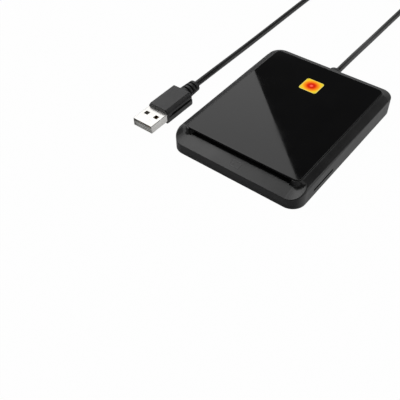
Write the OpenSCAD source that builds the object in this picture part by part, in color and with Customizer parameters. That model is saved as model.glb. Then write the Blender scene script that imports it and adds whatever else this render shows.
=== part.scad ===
// Smart card reader for a desk: a flat case in two halves with a card slot under its glossy top,
// a second slot for small cards in its right wall, a lit window, and a cord that ends in a plug.
// Millimetres. X runs across, Y from the card slot to the cord, Z up from the desk.

/* [Case] */
// Width of the case over its side walls
body_w = 71.4; // [70.4:0.2:80]
// Length of the case from the front edge to the back wall
body_l = 92; // [90:0.5:104]
// Height of the glossy top above the desk
body_h = 12.2; // [12:0.1:13.4]
// Height of the rim round the raised top
rim_h = 9.6; // [9.2:0.1:10]
// Corner radius of the case seen from above
corner_r = 7; // [5.5:0.5:8.5]
// Thickness of the case walls and floor
wall_t = 1.6; // [1.2:0.1:1.8]
// Thickness of the roof over the card
roof_t = 1; // [0.8:0.1:1.2]
// Height of the line where the two case halves meet
parting_h = 2.4; // [2.2:0.1:2.6]
// Length of the front ledge before the card slot
ledge_l = 6.9; // [6.6:0.1:8]
// Height of the front ledge at the card slot
ledge_back_h = 8.5; // [7.9:0.1:8.5]
// Height of the front ledge at its outer edge
ledge_front_h = 5.9; // [5.5:0.1:7]
// Radius of the hollow curve between the raised top and the ledge
cove_r = 1.6; // [1:0.1:2]
// Radius of the case's upper edges
top_edge_r = 0.8; // [0.5:0.1:1]
// Radius of the case's lower edge
low_edge_r = 0.3; // [0.3:0.1:1]

/* [Top panel] */
// Width of the case's sloping skirt on each side of the panel
panel_side = 4.5; // [4.4:0.1:5.2]
// Length of the case's sloping skirt behind the panel
panel_back = 5.2; // [5.2:0.1:6.4]
// Thickness of the glossy panel
panel_t = 1.2; // [1:0.1:1.4]
// Corner radius of the glossy panel
panel_r = 2.5; // [2:0.1:4]
// Bevel on the panel's upper edge
panel_bevel = 0.4; // [0.2:0.1:0.6]
// How far the panel stands above the seat's edge
panel_proud = 0.6; // [0.4:0.1:0.8]
// Side of the square lit window
window_w = 9.8; // [8:0.2:11]
// Corner radius of the lit window
window_r = 1.3; // [1:0.1:2]

/* [Cards] */
// Width of the identity-size card
card_w = 54; // [53:0.1:54.4]
// Thickness of a card
card_t = 0.76; // [0.6:0.02:0.9]
// Length of the space behind the card's end stop
rear_l = 25.7; // [24.6:0.2:27]
// Width of the small card
small_card_w = 15; // [14:0.5:16]
// Length of the small card that goes in
small_card_l = 24; // [22:0.5:25]
// Length of the slot in the right wall
side_slot_l = 17; // [16.5:0.5:20]
// Height of the slot in the right wall
side_slot_h = 1.3; // [1.1:0.1:1.3]
// Distance from the front edge to the middle of the side slot
side_slot_inset = 22; // [22:0.5:24]

/* [Contacts] */
// Spacing of contacts in a row
contact_pitch = 2.54; // [2.4:0.02:2.6]
// Spacing of the two rows of contacts
row_pitch = 7.62; // [7.6:0.02:8]
// Length of a contact spring from its root to its crest
blade_reach = 5; // [4.6:0.1:5.1]
// Width of a contact spring
blade_w = 1.1; // [0.8:0.1:1.3]
// Thickness of a contact spring
blade_t = 0.2; // [0.12:0.02:0.26]
// Height of a contact's crest above the card's path
contact_rise = 0.5; // [0.4:0.05:0.6]

/* [Inside] */
// Thickness of the circuit board
board_t = 1; // [1:0.1:1.4]
// Height of the card connector's base over the board
base_h = 2.5; // [2.4:0.05:2.55]
// Diameter of the screws' shank
screw_d = 2; // [1.8:0.1:2.2]
// Diameter of the rubber feet
foot_d = 8; // [6:0.5:9]
// Thickness of the rubber feet
foot_t = 1.2; // [1:0.1:1.3]
// How far the feet stand below the case
foot_proud = 0.5; // [0.4:0.1:0.6]

/* [Cord and plug] */
// Diameter of the cord
cord_d = 3.2; // [3:0.1:3.3]
// Height of the cord's middle where it leaves the case
cord_exit_h = 5; // [4.9:0.1:5.2]
// Diameter of the collar round the cord at the back wall
collar_d = 7.6; // [7:0.2:8.4]
// Width of the plug's metal shell
shell_w = 12; // [11.8:0.1:12.2]
// Height of the plug's metal shell
shell_h = 4.5; // [4.3:0.1:4.7]
// Length of metal shell that shows
shell_out = 11.8; // [11:0.2:13]
// Width of the plug's moulded grip
grip_w = 13.2; // [13:0.2:15]
// Height of the plug's moulded grip
grip_h = 8; // [7.6:0.2:9]
// Length of the plug's moulded grip
grip_l = 20; // [18:0.5:24]
// Length of the ribbed tail behind the grip
tail_l = 9.2; // [8:0.2:11]

/* [Hidden] */
// Overrun for all cuts, thickness of the slices that hulls join, and facets of round shapes
over = 0.5;
slice_t = 0.05;
round_fn = 48;
hull_fn = 32;
arc_steps = 8;
// Clearances between seated and moving pieces
seat_gap = 0.1;
slide_gap = 0.15;
hinge_gap = 0.05;
card_play = 1.2;
card_lift = 0.64;

// Rounding of both halves at the line where they meet
parting_r = 0.15;
// Thickness of the upper half's roof along the rim
rim_roof_t = 1.4;

// Heights of the layers, from the desk up
case_z = foot_proud;
floor_z = case_z + wall_t;
panel_z = body_h - panel_t;
roof_z = panel_z - roof_t;
channel_h = card_t + card_lift;
card_z = roof_z - channel_h;
board_top_z = card_z - base_h;
board_z = board_top_z - board_t;
board_standoff = board_z - floor_z;
seat_z = body_h - panel_proud;
rim_roof_z = rim_h - rim_roof_t;

// Plan of the raised top, whose front edge lies behind the ledge
panel_w = body_w - 2*panel_side;
panel_l = body_l - ledge_l - panel_back;
panel_y = -body_l/2 + ledge_l + panel_l/2;
face_y = panel_y - panel_l/2;
panel_lip = 0.6;
skirt_margin = 0.5;
skirt_back = 1.6;
skirt_w = body_w - 2*skirt_margin;
top_back_y = panel_y + panel_l/2;

// Card path, its mouth in the front face and its end stop
path_w = card_w + card_play;
mouth_splay = 1.4;
mouth_w = path_w + mouth_splay;
mouth_l = 3;
mouth_drop = 0.2;
rail_t = 1.3;
stop_wall = 1.4;
stop_y = top_back_y - rear_l;

// Connector for the card, whose front lies just behind the mouth
block_gap = 0.4;
block_front_y = face_y + mouth_l + block_gap;
block_w = path_w + 2*rail_t;
relief_w = 11;
relief_l = 12;
relief_rows = 3;
relief_share = 0.31;

// Contact rows measured from the card's edges, as the card standard gives them
first_pad_edge = 20.08;
pad_edge = 11.25;
front_row_y = stop_y - pad_edge - row_pitch;
row_ys = [front_row_y, front_row_y + row_pitch];
pad_xs = [for (i = [0:3]) first_pad_edge + i*contact_pitch - card_w/2];
blade_tip = 0.9;
blade_drop = 1.4;
blade_root_z = card_z - blade_drop;
blade_slack = 0.3;
tail_strip_t = 0.25;
crest_shares = [[0, 0], [0.82, 0.9], [1, 1]];
tip_shares = [[0.5, 0.86], [1, 0.5]];

// Connector for the small card, under the board at the right wall
side_y = -body_l/2 + side_slot_inset;
inner_x = body_w/2 - wall_t;
sheet_t = 0.2;
small_base_t = 0.6;
side_slot_lap = 0.25;
side_z = board_z - small_base_t + side_slot_lap - side_slot_h/2;
small_end_wall = 2;
small_side_wall = 1.2;
small_base_l = small_card_l + small_end_wall;
small_base_w = small_card_w + 2*small_side_wall;
small_cover_step = 1;
small_reach = 4;
small_rise = 0.4;
small_tip = 0.7;
small_root_depth = 0.35;
small_root_z = board_z - small_root_depth;
small_columns = 2;
small_rows = 3;
small_pad_inset = 9;
small_first_x = inner_x - small_pad_inset;

// Board outline and the posts that carry it
board_front_gap = 10.9;
board_back_gap = 6;
board_front_y = -body_l/2 + wall_t + board_front_gap;
board_back_y = body_l/2 - wall_t - board_back_gap;
board_ear = 0.7;
post_d = 4;
pin_d = 1.8;
post_inset_x = 4;
post_inset = 4.5;
post_gap = 5;
post_back_y = board_back_y - post_inset;
post_front_y = side_y + small_base_w/2 + post_gap;

// Screws and their bosses in the corners
boss_d = 4.8;
boss_inset_x = 4.2;
boss_inset_y = 9;
boss_x = body_w/2 - boss_inset_x;
board_boss_gap = 0.6;
board_w = 2*(boss_x - boss_d/2 - board_boss_gap);
post_x = board_w/2 - post_inset_x;
boss_y = body_l/2 - boss_inset_y;
head_d = 3.8;
head_h = 1.3;
head_depth = 0.3;
screw_gap = 0.05;
screw_l = 6.4;
screw_tip_gap = 0.5;
screw_slot_shares = [0.6, 0.16, 0.9];
boss_rise = 1;
boss_low_z = floor_z + boss_rise;
screw_hole_l = case_z + head_depth + screw_l + screw_tip_gap - boss_low_z;

// Feet, set in shallow pockets
foot_inset_x = 14;
foot_inset_y = 8.5;
foot_x = body_w/2 - foot_inset_x;
foot_y = body_l/2 - foot_inset_y;
foot_gap = 0.1;

// Lower lip of the case bottom, inside the upper half's walls
lip_h = 0.5;
lip_t = 1;
lip_gap = 0.15;

// Light pipe under the window
pipe_low_w = 5;
pipe_low_r = 1;
pipe_gap = 0.4;
pipe_flange = 1.2;
pipe_flange_t = 0.8;
pipe_leg = 1;
window_gap = 0.5;
window_y = stop_y + stop_wall + window_gap + pipe_flange + window_w/2;

// Pieces on the board, in the height left under the raised top's roof
clear_h = roof_z - board_top_z;
clear_back_y = top_back_y - wall_t;
chip_w = 7;
chip_h = 0.9;
chip_x = -15;
chip_shift = 1;
chip_y = window_y + chip_shift;
chip_lift = 0.1;
chip_legs = 6;
chip_leg_w = 0.3;
chip_leg_l = 1.2;
crystal_l = 10.6;
crystal_w = 4;
crystal_top_gap = 0.9;
crystal_h = clear_h - crystal_top_gap;
crystal_r = 1.9;
crystal_back_gap = 2.6;
crystal_x = chip_x;
crystal_y = clear_back_y - crystal_back_gap - crystal_w/2;
led_w = 1.8;
led_h = 0.8;
switch_x = 17;
switch_l = 5;
switch_w = 6;
switch_top_gap = 0.9;
switch_h = clear_h - switch_top_gap;
plunger_w = 2.2;
plunger_h = 0.75;
plunger_out = 1;
plunger_travel = 0.7;
plunger_l = 4;
plunger_room = 1;
part_l = 1.6;
part_w = 0.8;
part_h = 0.5;
part_pitch = 2.6;
part_count = 6;
header_x = 14;
header_w = 9;
header_l = 5;
header_top_gap = 0.7;
header_h = clear_h - header_top_gap;
header_wall = 0.7;
header_back_gap = 3.4;
header_y = clear_back_y - header_back_gap - header_l/2;
wire_d = 0.8;
wire_pitch = 1.8;
wire_count = 4;
wire_rings = 14;
wire_stack_share = 1.15;
wire_turn_share = 1.5;
housing_l = 5;

// Gland that holds the cord in the back wall
neck_d = 4.6;
collar_l = 3.4;
collar_r = 0.8;
inner_flange_d = 5.6;
inner_flange_l = 1.3;
back_y = body_l/2;

// Plug, lying beside the reader
plug_x = -54.7;
plug_tip_y = -44.6;
plug_z = grip_h/2;
shell_t = 0.3;
shell_in = 3;
shell_hole = 2.4;
shell_hole_x = 3.05;
shell_hole_y = 6.9;
root_y = plug_tip_y + shell_out;
tail_y = root_y + grip_l;
plug_end_y = tail_y + tail_l;
grip_top_share = 0.69;
grip_bevel_share = 0.34;
grip_front_bevel = 0.6;
grip_corner_r = 1.2;
groove_h = 0.9;
groove_d = 0.7;
groove_z_share = 0.56;
tail_w = 8.8;
tail_h = 6.4;
tail_end_w = 7.6;
tail_end_h = 5.8;
tail_grooves = 3;
tail_groove_l = 1;
tail_groove_d = 1;
tail_rib_l = 1.4;
tail_first_share = 0.6;
tongue_t = 1.9;
tongue_gap = 0.15;
tongue_lift = 0.1;
tongue_back = 0.4;
pin_w = 1.2;
pin_t = 0.2;
pin_l = 8;
pin_pitch = 2.2;
pin_count = 4;
pin_back = 1;

// Route of the cord from the collar to its coil, and from the coil to the plug
near_route = [[0, 49.4, 5], [0, 52.6, 5], [-0.7, 70, 4.1], [-1.7, 95, 2.3], [-2.1, 115, 1.7],
              [-2.1, 140, 1.7], [-2.1, 161.1, 1.7], [-2.1, 164.3, 1.7]];
far_route = [[-56.7, 164.3, 5.4], [-56.7, 161.1, 5.4], [-56.7, 145, 3.6], [-56.7, 130, 1.8],
             [-56.6, 100, 1.7], [-56, 50, 2.2], [-55, 15, 3.6], [-54.7, -0.4, 4],
             [-54.7, -3.6, 4]];
near_rings = 18;
far_rings = 24;
tube_sides = 8;
curve_end = 0.000001;

// Coil of the spare cord: in from the outside on the desk, up a layer, and out again
coil_y = 167.5;
coil_right_x = -2.1;
coil_r = 27.3;
coil_pitch = 3.65;
coil_low_z = 1.7;
coil_high_z = 5.4;
coil_turns = 4.5;
coil_climb = 0.5;
coil_steps = 24;
coil_sides = 6;
coil_lead = cord_d;

// Plain shapes that the pieces share
module rounded_outline(w, l, r) {
  square([w - 2*r, l], center = true);
  square([w, l - 2*r], center = true);
  for (x = [-1, 1], y = [-1, 1]) {
    translate([x*(w/2 - r), y*(l/2 - r)]) circle(r = r, $fn = round_fn);
  }
}

module rounded_plate(w, l, h, r) {
  linear_extrude(height = h) rounded_outline(w, l, r);
}

module centred_box(size, at) {
  translate([at[0] - size[0]/2, at[1] - size[1]/2, at[2]]) cube(size);
}

// Points on an arc, for profiles
function arc_points(centre, r, from, to) =
  [for (i = [0:arc_steps]) let (a = from + (to - from)*i/arc_steps)
    [centre[0] + r*cos(a), centre[1] + r*sin(a)]];

// A round puck whose lower and upper edges are rounded
module puck(r, h, low_r, high_r) {
  rotate_extrude($fn = hull_fn) polygon(concat(
    [[0, 0]],
    arc_points([r - low_r, low_r], low_r, -90, 0),
    arc_points([r - high_r, h - high_r], high_r, 0, 90),
    [[0, h]]));
}

// A slab with round corners and rounded upper and lower edges
module soft_slab(w, l, z0, z1, r, low_r, high_r) {
  hull() {
    for (x = [-1, 1], y = [-1, 1]) {
      translate([x*(w/2 - r), y*(l/2 - r), z0]) puck(r, z1 - z0, low_r, high_r);
    }
  }
}

module at_corners(x, y) {
  for (sx = [-1, 1], sy = [-1, 1]) translate([sx*x, sy*y, 0]) children();
}

// Profile of what is cut away above the front ledge, with its hollow curve
ledge_angle = atan((ledge_back_h - ledge_front_h)/ledge_l);
ledge_front_y = -body_l/2;
skirt_face_y = face_y - panel_lip;
cove_y = skirt_face_y - cove_r;
cove_z = ledge_back_h - cove_r*tan(ledge_angle) + cove_r/cos(ledge_angle);
ledge_end_y = ledge_front_y - over;
ledge_end_z = ledge_back_h + (ledge_end_y - skirt_face_y)*tan(ledge_angle);
function ledge_profile() = concat(
  [[skirt_face_y, body_h + over]],
  arc_points([cove_y, cove_z], cove_r, 0, ledge_angle - 90),
  [[ledge_end_y, ledge_end_z], [ledge_end_y, body_h + over]]);

module along_x(w) {
  rotate([90, 0, 90]) translate([0, 0, -w/2]) linear_extrude(height = w) children();
}

// Solid form of the upper half: slab, sloping skirt up to the panel, and the front ledge
module case_form() {
  difference() {
    union() {
      soft_slab(body_w, body_l, parting_h, rim_h, corner_r, parting_r, top_edge_r);
      skirt();
    }
    along_x(body_w + 2*over) polygon(ledge_profile());
  }
}

module skirt() {
  foot_l = panel_l + panel_lip + skirt_back;
  hull() {
    translate([0, panel_y + (skirt_back - panel_lip)/2, rim_h - top_edge_r])
      rounded_plate(skirt_w, foot_l, top_edge_r/2, corner_r/2, $fn = hull_fn);
    translate([0, panel_y, seat_z - slice_t])
      rounded_plate(panel_w + 2*panel_lip, panel_l + 2*panel_lip, slice_t, panel_r + panel_lip);
  }
}

// Space inside the upper half, lower under the ledge and the rim than under the raised top
module case_cavity() {
  inner_r = corner_r - wall_t;
  front_roof_z = ledge_front_h - wall_t;
  difference() {
    translate([0, 0, parting_h - over])
      rounded_plate(body_w - 2*wall_t, body_l - 2*wall_t, rim_roof_z - parting_h + over, inner_r);
    translate([0, face_y + wall_t - body_l/2, front_roof_z + body_h/2])
      cube([body_w, body_l, body_h], center = true);
  }
  cavity_l = top_back_y - wall_t - face_y - mouth_l;
  centred_box([block_w + 2*seat_gap, cavity_l, roof_z - parting_h],
    [0, face_y + mouth_l + cavity_l/2, parting_h]);
}

// Card mouth: wide at the front face and narrowing to the card's path
module card_mouth() {
  outer_h = seat_z - panel_proud - ledge_back_h + mouth_drop;
  hull() {
    centred_box([mouth_w, over, outer_h], [0, skirt_face_y - over/2, ledge_back_h - mouth_drop]);
    centred_box([path_w, slice_t, channel_h], [0, face_y + mouth_l - slice_t, card_z]);
  }
  centred_box([path_w, 2*over, channel_h], [0, face_y + mouth_l + over/2, card_z]);
  // The panel's front edge is the upper edge of the mouth, with no lip before it
  lip_cut_l = panel_lip + over;
  centred_box([mouth_w, lip_cut_l, seat_z - panel_z + over],
    [0, face_y - lip_cut_l/2, panel_z - seat_gap]);
}

module top_case() {
  color("#4e4e4e") difference() {
    union() {
      difference() {
        case_form();
        case_cavity();
      }
      at_corners(boss_x, boss_y) translate([0, 0, boss_low_z])
        cylinder(d = boss_d, h = rim_roof_z - boss_low_z + seat_gap, $fn = round_fn);
    }
    card_mouth();
    // Seat of the glossy panel
    translate([0, panel_y, panel_z])
      rounded_plate(panel_w + 2*seat_gap, panel_l + 2*seat_gap, panel_t + over, panel_r);
    // Opening for the light pipe
    translate([0, window_y, roof_z - over])
      rounded_plate(window_w + 2*seat_gap, window_w + 2*seat_gap, roof_t + 2*over, window_r);
    // Screw holes
    at_corners(boss_x, boss_y) translate([0, 0, boss_low_z - over])
      cylinder(d = screw_d + 2*screw_gap, h = screw_hole_l + over, $fn = round_fn);
    // Slot for small cards
    centred_box([3*wall_t, side_slot_l, side_slot_h],
      [body_w/2, side_y, side_z - side_slot_h/2]);
    // Notch for the gland's neck
    translate([0, back_y - wall_t - over, cord_exit_h]) rotate([-90, 0, 0])
      cylinder(d = neck_d + 2*seat_gap, h = wall_t + 2*over, $fn = round_fn);
    centred_box([neck_d + 2*seat_gap, 2*wall_t, cord_exit_h - parting_h + over],
      [0, back_y, parting_h - over]);
  }
}

module bottom_case() {
  color("#2c2d30") difference() {
    union() {
      difference() {
        soft_slab(body_w, body_l, case_z, parting_h, corner_r, low_edge_r, parting_r);
        translate([0, 0, floor_z])
          rounded_plate(body_w - 2*wall_t, body_l - 2*wall_t, parting_h, corner_r - wall_t);
      }
      case_lip();
      board_posts();
      at_corners(boss_x, boss_y) translate([0, 0, floor_z - wall_t/2])
        cylinder(d = boss_d, h = boss_low_z - floor_z + wall_t/2, $fn = round_fn);
    }
    at_corners(boss_x, boss_y) {
      translate([0, 0, case_z - over])
        cylinder(d = screw_d + 2*seat_gap, h = boss_low_z + over, $fn = round_fn);
      translate([0, 0, case_z - over])
        cylinder(d = head_d + 2*seat_gap, h = head_depth + head_h + over, $fn = round_fn);
    }
    at_corners(foot_x, foot_y) translate([0, 0, case_z - over])
      cylinder(d = foot_d + 2*foot_gap, h = foot_t - foot_proud + over, $fn = round_fn);
  }
}

// Lip that stands inside the upper half's walls, open at the bosses and at the gland
module case_lip() {
  lip_w = body_w - 2*wall_t - 2*lip_gap;
  lip_l = body_l - 2*wall_t - 2*lip_gap;
  lip_r = corner_r - wall_t - lip_gap;
  lip_top_z = parting_h + lip_h;
  difference() {
    translate([0, 0, floor_z - hinge_gap])
      rounded_plate(lip_w, lip_l, lip_top_z - floor_z + hinge_gap, lip_r);
    translate([0, 0, floor_z - over])
      rounded_plate(lip_w - 2*lip_t, lip_l - 2*lip_t, lip_top_z + over, lip_r - lip_t);
    centred_box([inner_flange_d + 2*lip_gap, 4*lip_t, body_h], [0, lip_l/2, floor_z - hinge_gap]);
    centred_box([4*lip_t, small_base_w + 2*lip_gap, body_h], [lip_w/2, side_y, floor_z]);
  }
}

module board_posts() {
  for (x = [-1, 1], y = [post_front_y, post_back_y]) {
    translate([x*post_x, y, floor_z - hinge_gap])
      cylinder(d = post_d, h = board_standoff + hinge_gap, $fn = round_fn);
    translate([x*post_x, y, floor_z])
      cylinder(d = pin_d, h = board_standoff + board_t, $fn = round_fn);
  }
}

module top_panel() {
  color("#141414") difference() {
    translate([0, panel_y, panel_z]) hull() {
      rounded_plate(panel_w, panel_l, panel_t - panel_bevel, panel_r);
      rounded_plate(panel_w - 2*panel_bevel, panel_l - 2*panel_bevel, panel_t,
        panel_r - panel_bevel);
    }
    translate([0, window_y, panel_z - over])
      rounded_plate(window_w + 2*hinge_gap, window_w + 2*hinge_gap, panel_t + 2*over, window_r);
  }
}

module indicator_window() {
  color("#f4c430") translate([0, window_y, panel_z])
    rounded_plate(window_w, window_w, panel_t, window_r);
}

// Pipe that spreads the lamp's light over the whole window
module light_pipe() {
  flange_w = window_w + 2*pipe_flange;
  flange_z = roof_z - pipe_flange_t;
  low_z = board_top_z + led_h + pipe_gap;
  color("#f2ead0") {
    translate([0, window_y, flange_z]) rounded_plate(flange_w, flange_w, pipe_flange_t, window_r);
    translate([0, window_y, roof_z - hinge_gap])
      rounded_plate(window_w, window_w, roof_t + hinge_gap, window_r);
    translate([0, window_y, low_z])
      rounded_plate(pipe_low_w, pipe_low_w, flange_z - low_z + hinge_gap, pipe_low_r);
    for (x = [-1, 1], y = [-1, 1]) {
      centred_box([pipe_leg, pipe_leg, flange_z - board_top_z + hinge_gap],
        [x*(flange_w/2 - pipe_leg), window_y + y*(flange_w/2 - pipe_leg), board_top_z]);
    }
  }
}

module circuit_board() {
  board_l = board_back_y - board_front_y;
  ear_l = boss_y - boss_d/2 - board_ear;
  color("#1f6b3a") difference() {
    union() {
      centred_box([board_w, board_l, board_t], [0, board_front_y + board_l/2, board_z]);
      translate([0, board_front_y, board_z])
        cube([inner_x - board_ear, ear_l - board_front_y, board_t]);
    }
    for (x = [-1, 1], y = [post_front_y, post_back_y]) {
      translate([x*post_x, y, board_z - over])
        cylinder(d = pin_d + 2*seat_gap, h = board_t + 2*over, $fn = round_fn);
    }
  }
}

// Moulded frame that guides the card over the contacts up to its end stop
module card_connector() {
  base_l = stop_y + stop_wall - block_front_y;
  slot_w = blade_w + 2*blade_slack;
  slot_l = tail_strip_t + blade_reach + blade_tip + 2*blade_slack;
  color("#e4dccb") difference() {
    union() {
      centred_box([block_w, base_l, card_z - board_top_z],
        [0, block_front_y + base_l/2, board_top_z]);
      for (side = [-1, 1]) {
        centred_box([rail_t, base_l, roof_z - board_top_z],
          [side*(path_w + rail_t)/2, block_front_y + base_l/2, board_top_z]);
      }
      centred_box([block_w, stop_wall, roof_z - seat_gap - board_top_z],
        [0, stop_y + stop_wall/2, board_top_z]);
    }
    for (x = pad_xs, y = row_ys) {
      centred_box([slot_w, slot_l, card_z - board_top_z + 2*over],
        [x, y - blade_reach - tail_strip_t - hinge_gap + slot_l/2, board_top_z - over]);
    }
    // Opening for the switch's plunger
    centred_box([plunger_w + 2*slide_gap, 3*stop_wall, roof_z],
      [switch_x, stop_y + stop_wall, card_z - hinge_gap]);
    // Windows that save material beside the contacts
    for (side = [-1, 1], row = [1:relief_rows]) {
      centred_box([relief_w, relief_l, card_z - board_top_z + 2*over],
        [side*path_w*relief_share,
         block_front_y + base_l*(row - 1/2)/relief_rows - stop_wall/2, board_top_z - over]);
    }
  }
}

// Bent spring strip in the YZ plane, root on the X axis, crest up at (reach, rise)
module spring_blade(reach, rise, tip, w, t) {
  upper = concat([for (s = crest_shares) [reach*s[0], rise*s[1]]],
                 [for (s = tip_shares) [reach + tip*s[0], rise*s[1]]]);
  lower = [for (i = [len(upper) - 1:-1:0]) upper[i] - [0, t]];
  along_x(w) polygon(concat(upper, lower));
}

contact_z_rise = card_z + contact_rise - blade_root_z;
module card_contact(i) {
  row = floor((i - 1)/4);
  color("#d8b25a") translate([pad_xs[(i - 1)%4], row_ys[row] - blade_reach, blade_root_z])
    spring_blade(blade_reach, contact_z_rise, blade_tip, blade_w, blade_t);
}

// Fixed ends of the contacts, soldered to both faces of the board
module contact_tails() {
  color("#c9a24a") {
    for (x = pad_xs, y = row_ys) {
      centred_box([blade_w, tail_strip_t, blade_root_z - board_top_z],
        [x, y - blade_reach - hinge_gap - tail_strip_t/2, board_top_z]);
    }
    for (c = [1:small_columns], r = [1:small_rows]) {
      centred_box([tail_strip_t, blade_w, board_z - small_root_z],
        [small_contact_x(c) + hinge_gap + tail_strip_t/2, small_contact_y(r), small_root_z]);
    }
  }
}

module card_switch() {
  housing_y = stop_y + stop_wall;
  color("#2b2b2b") difference() {
    centred_box([switch_w, switch_l, switch_h],
      [switch_x, housing_y + switch_l/2, board_top_z]);
    centred_box([plunger_w + 2*slide_gap, 2*(plunger_l - plunger_out - stop_wall + plunger_room),
      plunger_h + slide_gap + over], [switch_x, housing_y, plunger_z - slide_gap/2]);
  }
}
plunger_z = card_z + slide_gap;
module switch_plunger() {
  color("#d9d9d9") centred_box([plunger_w, plunger_l, plunger_h],
    [switch_x, stop_y - plunger_out + plunger_l/2, plunger_z]);
}

// Holder for the small card: a base with contacts under the board and a sheet cover
small_x1 = inner_x - hinge_gap;
small_x0 = small_x1 - small_base_l;
module small_card_base() {
  slot_w = blade_w + 2*blade_slack;
  slot_l = tail_strip_t + hinge_gap + small_reach + small_tip + blade_slack;
  color("#e4dccb") difference() {
    centred_box([small_base_l, small_base_w - 2*sheet_t, small_base_t],
      [(small_x0 + small_x1)/2, side_y, board_z - small_base_t]);
    for (c = [1:small_columns], r = [1:small_rows]) {
      centred_box([slot_l, slot_w, small_base_t + 2*over],
        [small_contact_x(c) + tail_strip_t + hinge_gap - slot_l/2, small_contact_y(r),
         board_z - small_base_t - over]);
    }
  }
}
function small_contact_x(column) = small_first_x - (column - 1)*row_pitch;
function small_contact_y(row) = side_y + (row - (small_rows + 1)/2)*contact_pitch;

module small_card_cover() {
  cover_z = side_z - side_slot_h/2 - sheet_t/2;
  color("#c8ccd0") difference() {
    centred_box([small_base_l - small_cover_step, small_base_w, board_z - cover_z],
      [(small_x0 + small_x1 + small_cover_step)/2, side_y, cover_z]);
    centred_box([small_base_l + 2*over, small_base_w - 2*sheet_t, board_z - cover_z],
      [(small_x0 + small_x1)/2, side_y, cover_z + sheet_t]);
  }
}

module small_contact(i) {
  c = floor((i - 1)/small_rows) + 1;
  r = (i - 1)%small_rows + 1;
  path_top_z = board_z - small_base_t;
  color("#d8b25a") translate([small_contact_x(c), small_contact_y(r), small_root_z])
    rotate([0, 0, 90]) mirror([0, 0, 1])
      spring_blade(small_reach, small_root_z - path_top_z + small_rise, small_tip, blade_w,
        blade_t);
}

module controller_chip() {
  color("#262626") centred_box([chip_w, chip_w, chip_h], [chip_x, chip_y, board_top_z + chip_lift]);
  color("#b8b8b8") for (side = [-1, 1], i = [1:chip_legs]) {
    centred_box([chip_leg_l, chip_leg_w, chip_leg_w], [chip_x + side*(chip_w/2 + chip_leg_w),
      chip_y + (i - (chip_legs + 1)/2)*chip_w/chip_legs, board_top_z]);
  }
}

module crystal() {
  color("#c4c8cc") translate([crystal_x, crystal_y, board_top_z])
    rounded_plate(crystal_l, crystal_w, crystal_h, crystal_r);
}

module indicator_led() {
  color("#fff2c0") centred_box([led_w, led_w, led_h], [0, window_y, board_top_z]);
}

module chip_resistors() {
  color("#3a3a3a") for (i = [0:part_count - 1], side = [0, 1]) {
    centred_box([part_w, part_l, part_h],
      [header_x - header_w/2 + i*part_pitch - part_w, chip_y + part_l + side*part_pitch,
       board_top_z]);
  }
}

// Header on the board and the housing that plugs into it from the back
module cord_header() {
  color("#e9e4d6") difference() {
    centred_box([header_w, header_l, header_h], [header_x, header_y, board_top_z]);
    centred_box([header_w - 2*header_wall, header_l, header_h - 2*header_wall],
      [header_x, header_y + header_wall, board_top_z + header_wall]);
  }
}

module cord_housing() {
  w = header_w - 2*header_wall - 2*hinge_gap;
  h = header_h - 2*header_wall - 2*hinge_gap;
  color("#f2efe6") centred_box([w, housing_l - header_wall, h],
    [header_x, header_y - header_l/2 + header_wall + (housing_l - header_wall)/2 + hinge_gap,
     board_top_z + header_wall + hinge_gap]);
}

// Tube swept along a list of ring centres
function unit(v) = v/norm(v);
function ring(at, dir, r, sides) =
  let (side = unit(cross(dir, [0, 0, 1])), lift = cross(side, dir))
  [for (k = [0:sides - 1]) let (a = 360*(k + 0.5)/sides) at + r*(cos(a)*side + sin(a)*lift)];
module swept_tube(points, d, sides) {
  n = len(points);
  dirs = [for (i = [0:n - 1]) unit(points[min(i + 1, n - 1)] - points[max(i - 1, 0)])];
  rings = [for (i = [0:n - 1]) ring(points[i], dirs[i], d/2, sides)];
  skin = [for (i = [0:n - 2], k = [0:sides - 1])
    let (a = i*sides + k, b = i*sides + (k + 1)%sides)
    each [[a, b, a + sides], [b, b + sides, a + sides]]];
  last = (n - 1)*sides;
  ends = [for (k = [1:sides - 2]) each [[0, k + 1, k], [last, last + k, last + k + 1]]];
  polyhedron(points = [for (r = rings) each r], faces = concat(skin, ends), convexity = 10);
}

// Smooth curve through a route's points, with its first and last legs left straight
function curve_at(route, s) =
  let (n = len(route) - 1, f = 1 + min(s*(n - 2), n - 2 - curve_end), i = floor(f), t = f - i,
       p0 = route[i - 1], p1 = route[i], p2 = route[i + 1], p3 = route[i + 2])
  0.5*(2*p1 + t*(p2 - p0) + t*t*(2*p0 - 5*p1 + 4*p2 - p3) + t*t*t*(3*p1 - p0 - 3*p2 + p3));
function curve(route, rings) = concat([route[0]],
  [for (k = [0:rings]) curve_at(route, k/rings)], [route[len(route) - 1]]);

module cord_near() {
  color("#333333") swept_tube(curve(near_route, near_rings), cord_d, tube_sides);
}

module cord_far() {
  color("#333333") swept_tube(curve(far_route, far_rings), cord_d, tube_sides);
}

// Centre of the coil's tube after a number of turns, in, up and out again
coil_total = 2*coil_turns + coil_climb;
function coil_radius(t) = coil_r - coil_pitch*min(t, coil_total - t);
function coil_z(t) = t < coil_turns ? coil_low_z : t > coil_turns + coil_climb ? coil_high_z
  : coil_low_z + (coil_high_z - coil_low_z)*(1 - cos(180*(t - coil_turns)/coil_climb))/2;
function coil_point(t) = [coil_right_x - coil_r + coil_radius(t)*cos(360*t),
  coil_y + coil_radius(t)*sin(360*t), coil_z(t)];
coil_path = concat(
  [coil_point(0) - [0, coil_lead, 0]],
  [for (k = [0:coil_total*coil_steps]) coil_point(k/coil_steps)],
  [coil_point(coil_total) - [0, coil_lead, 0]]);
module cord_coil() {
  color("#333333") swept_tube(coil_path, cord_d, coil_sides);
}

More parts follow.
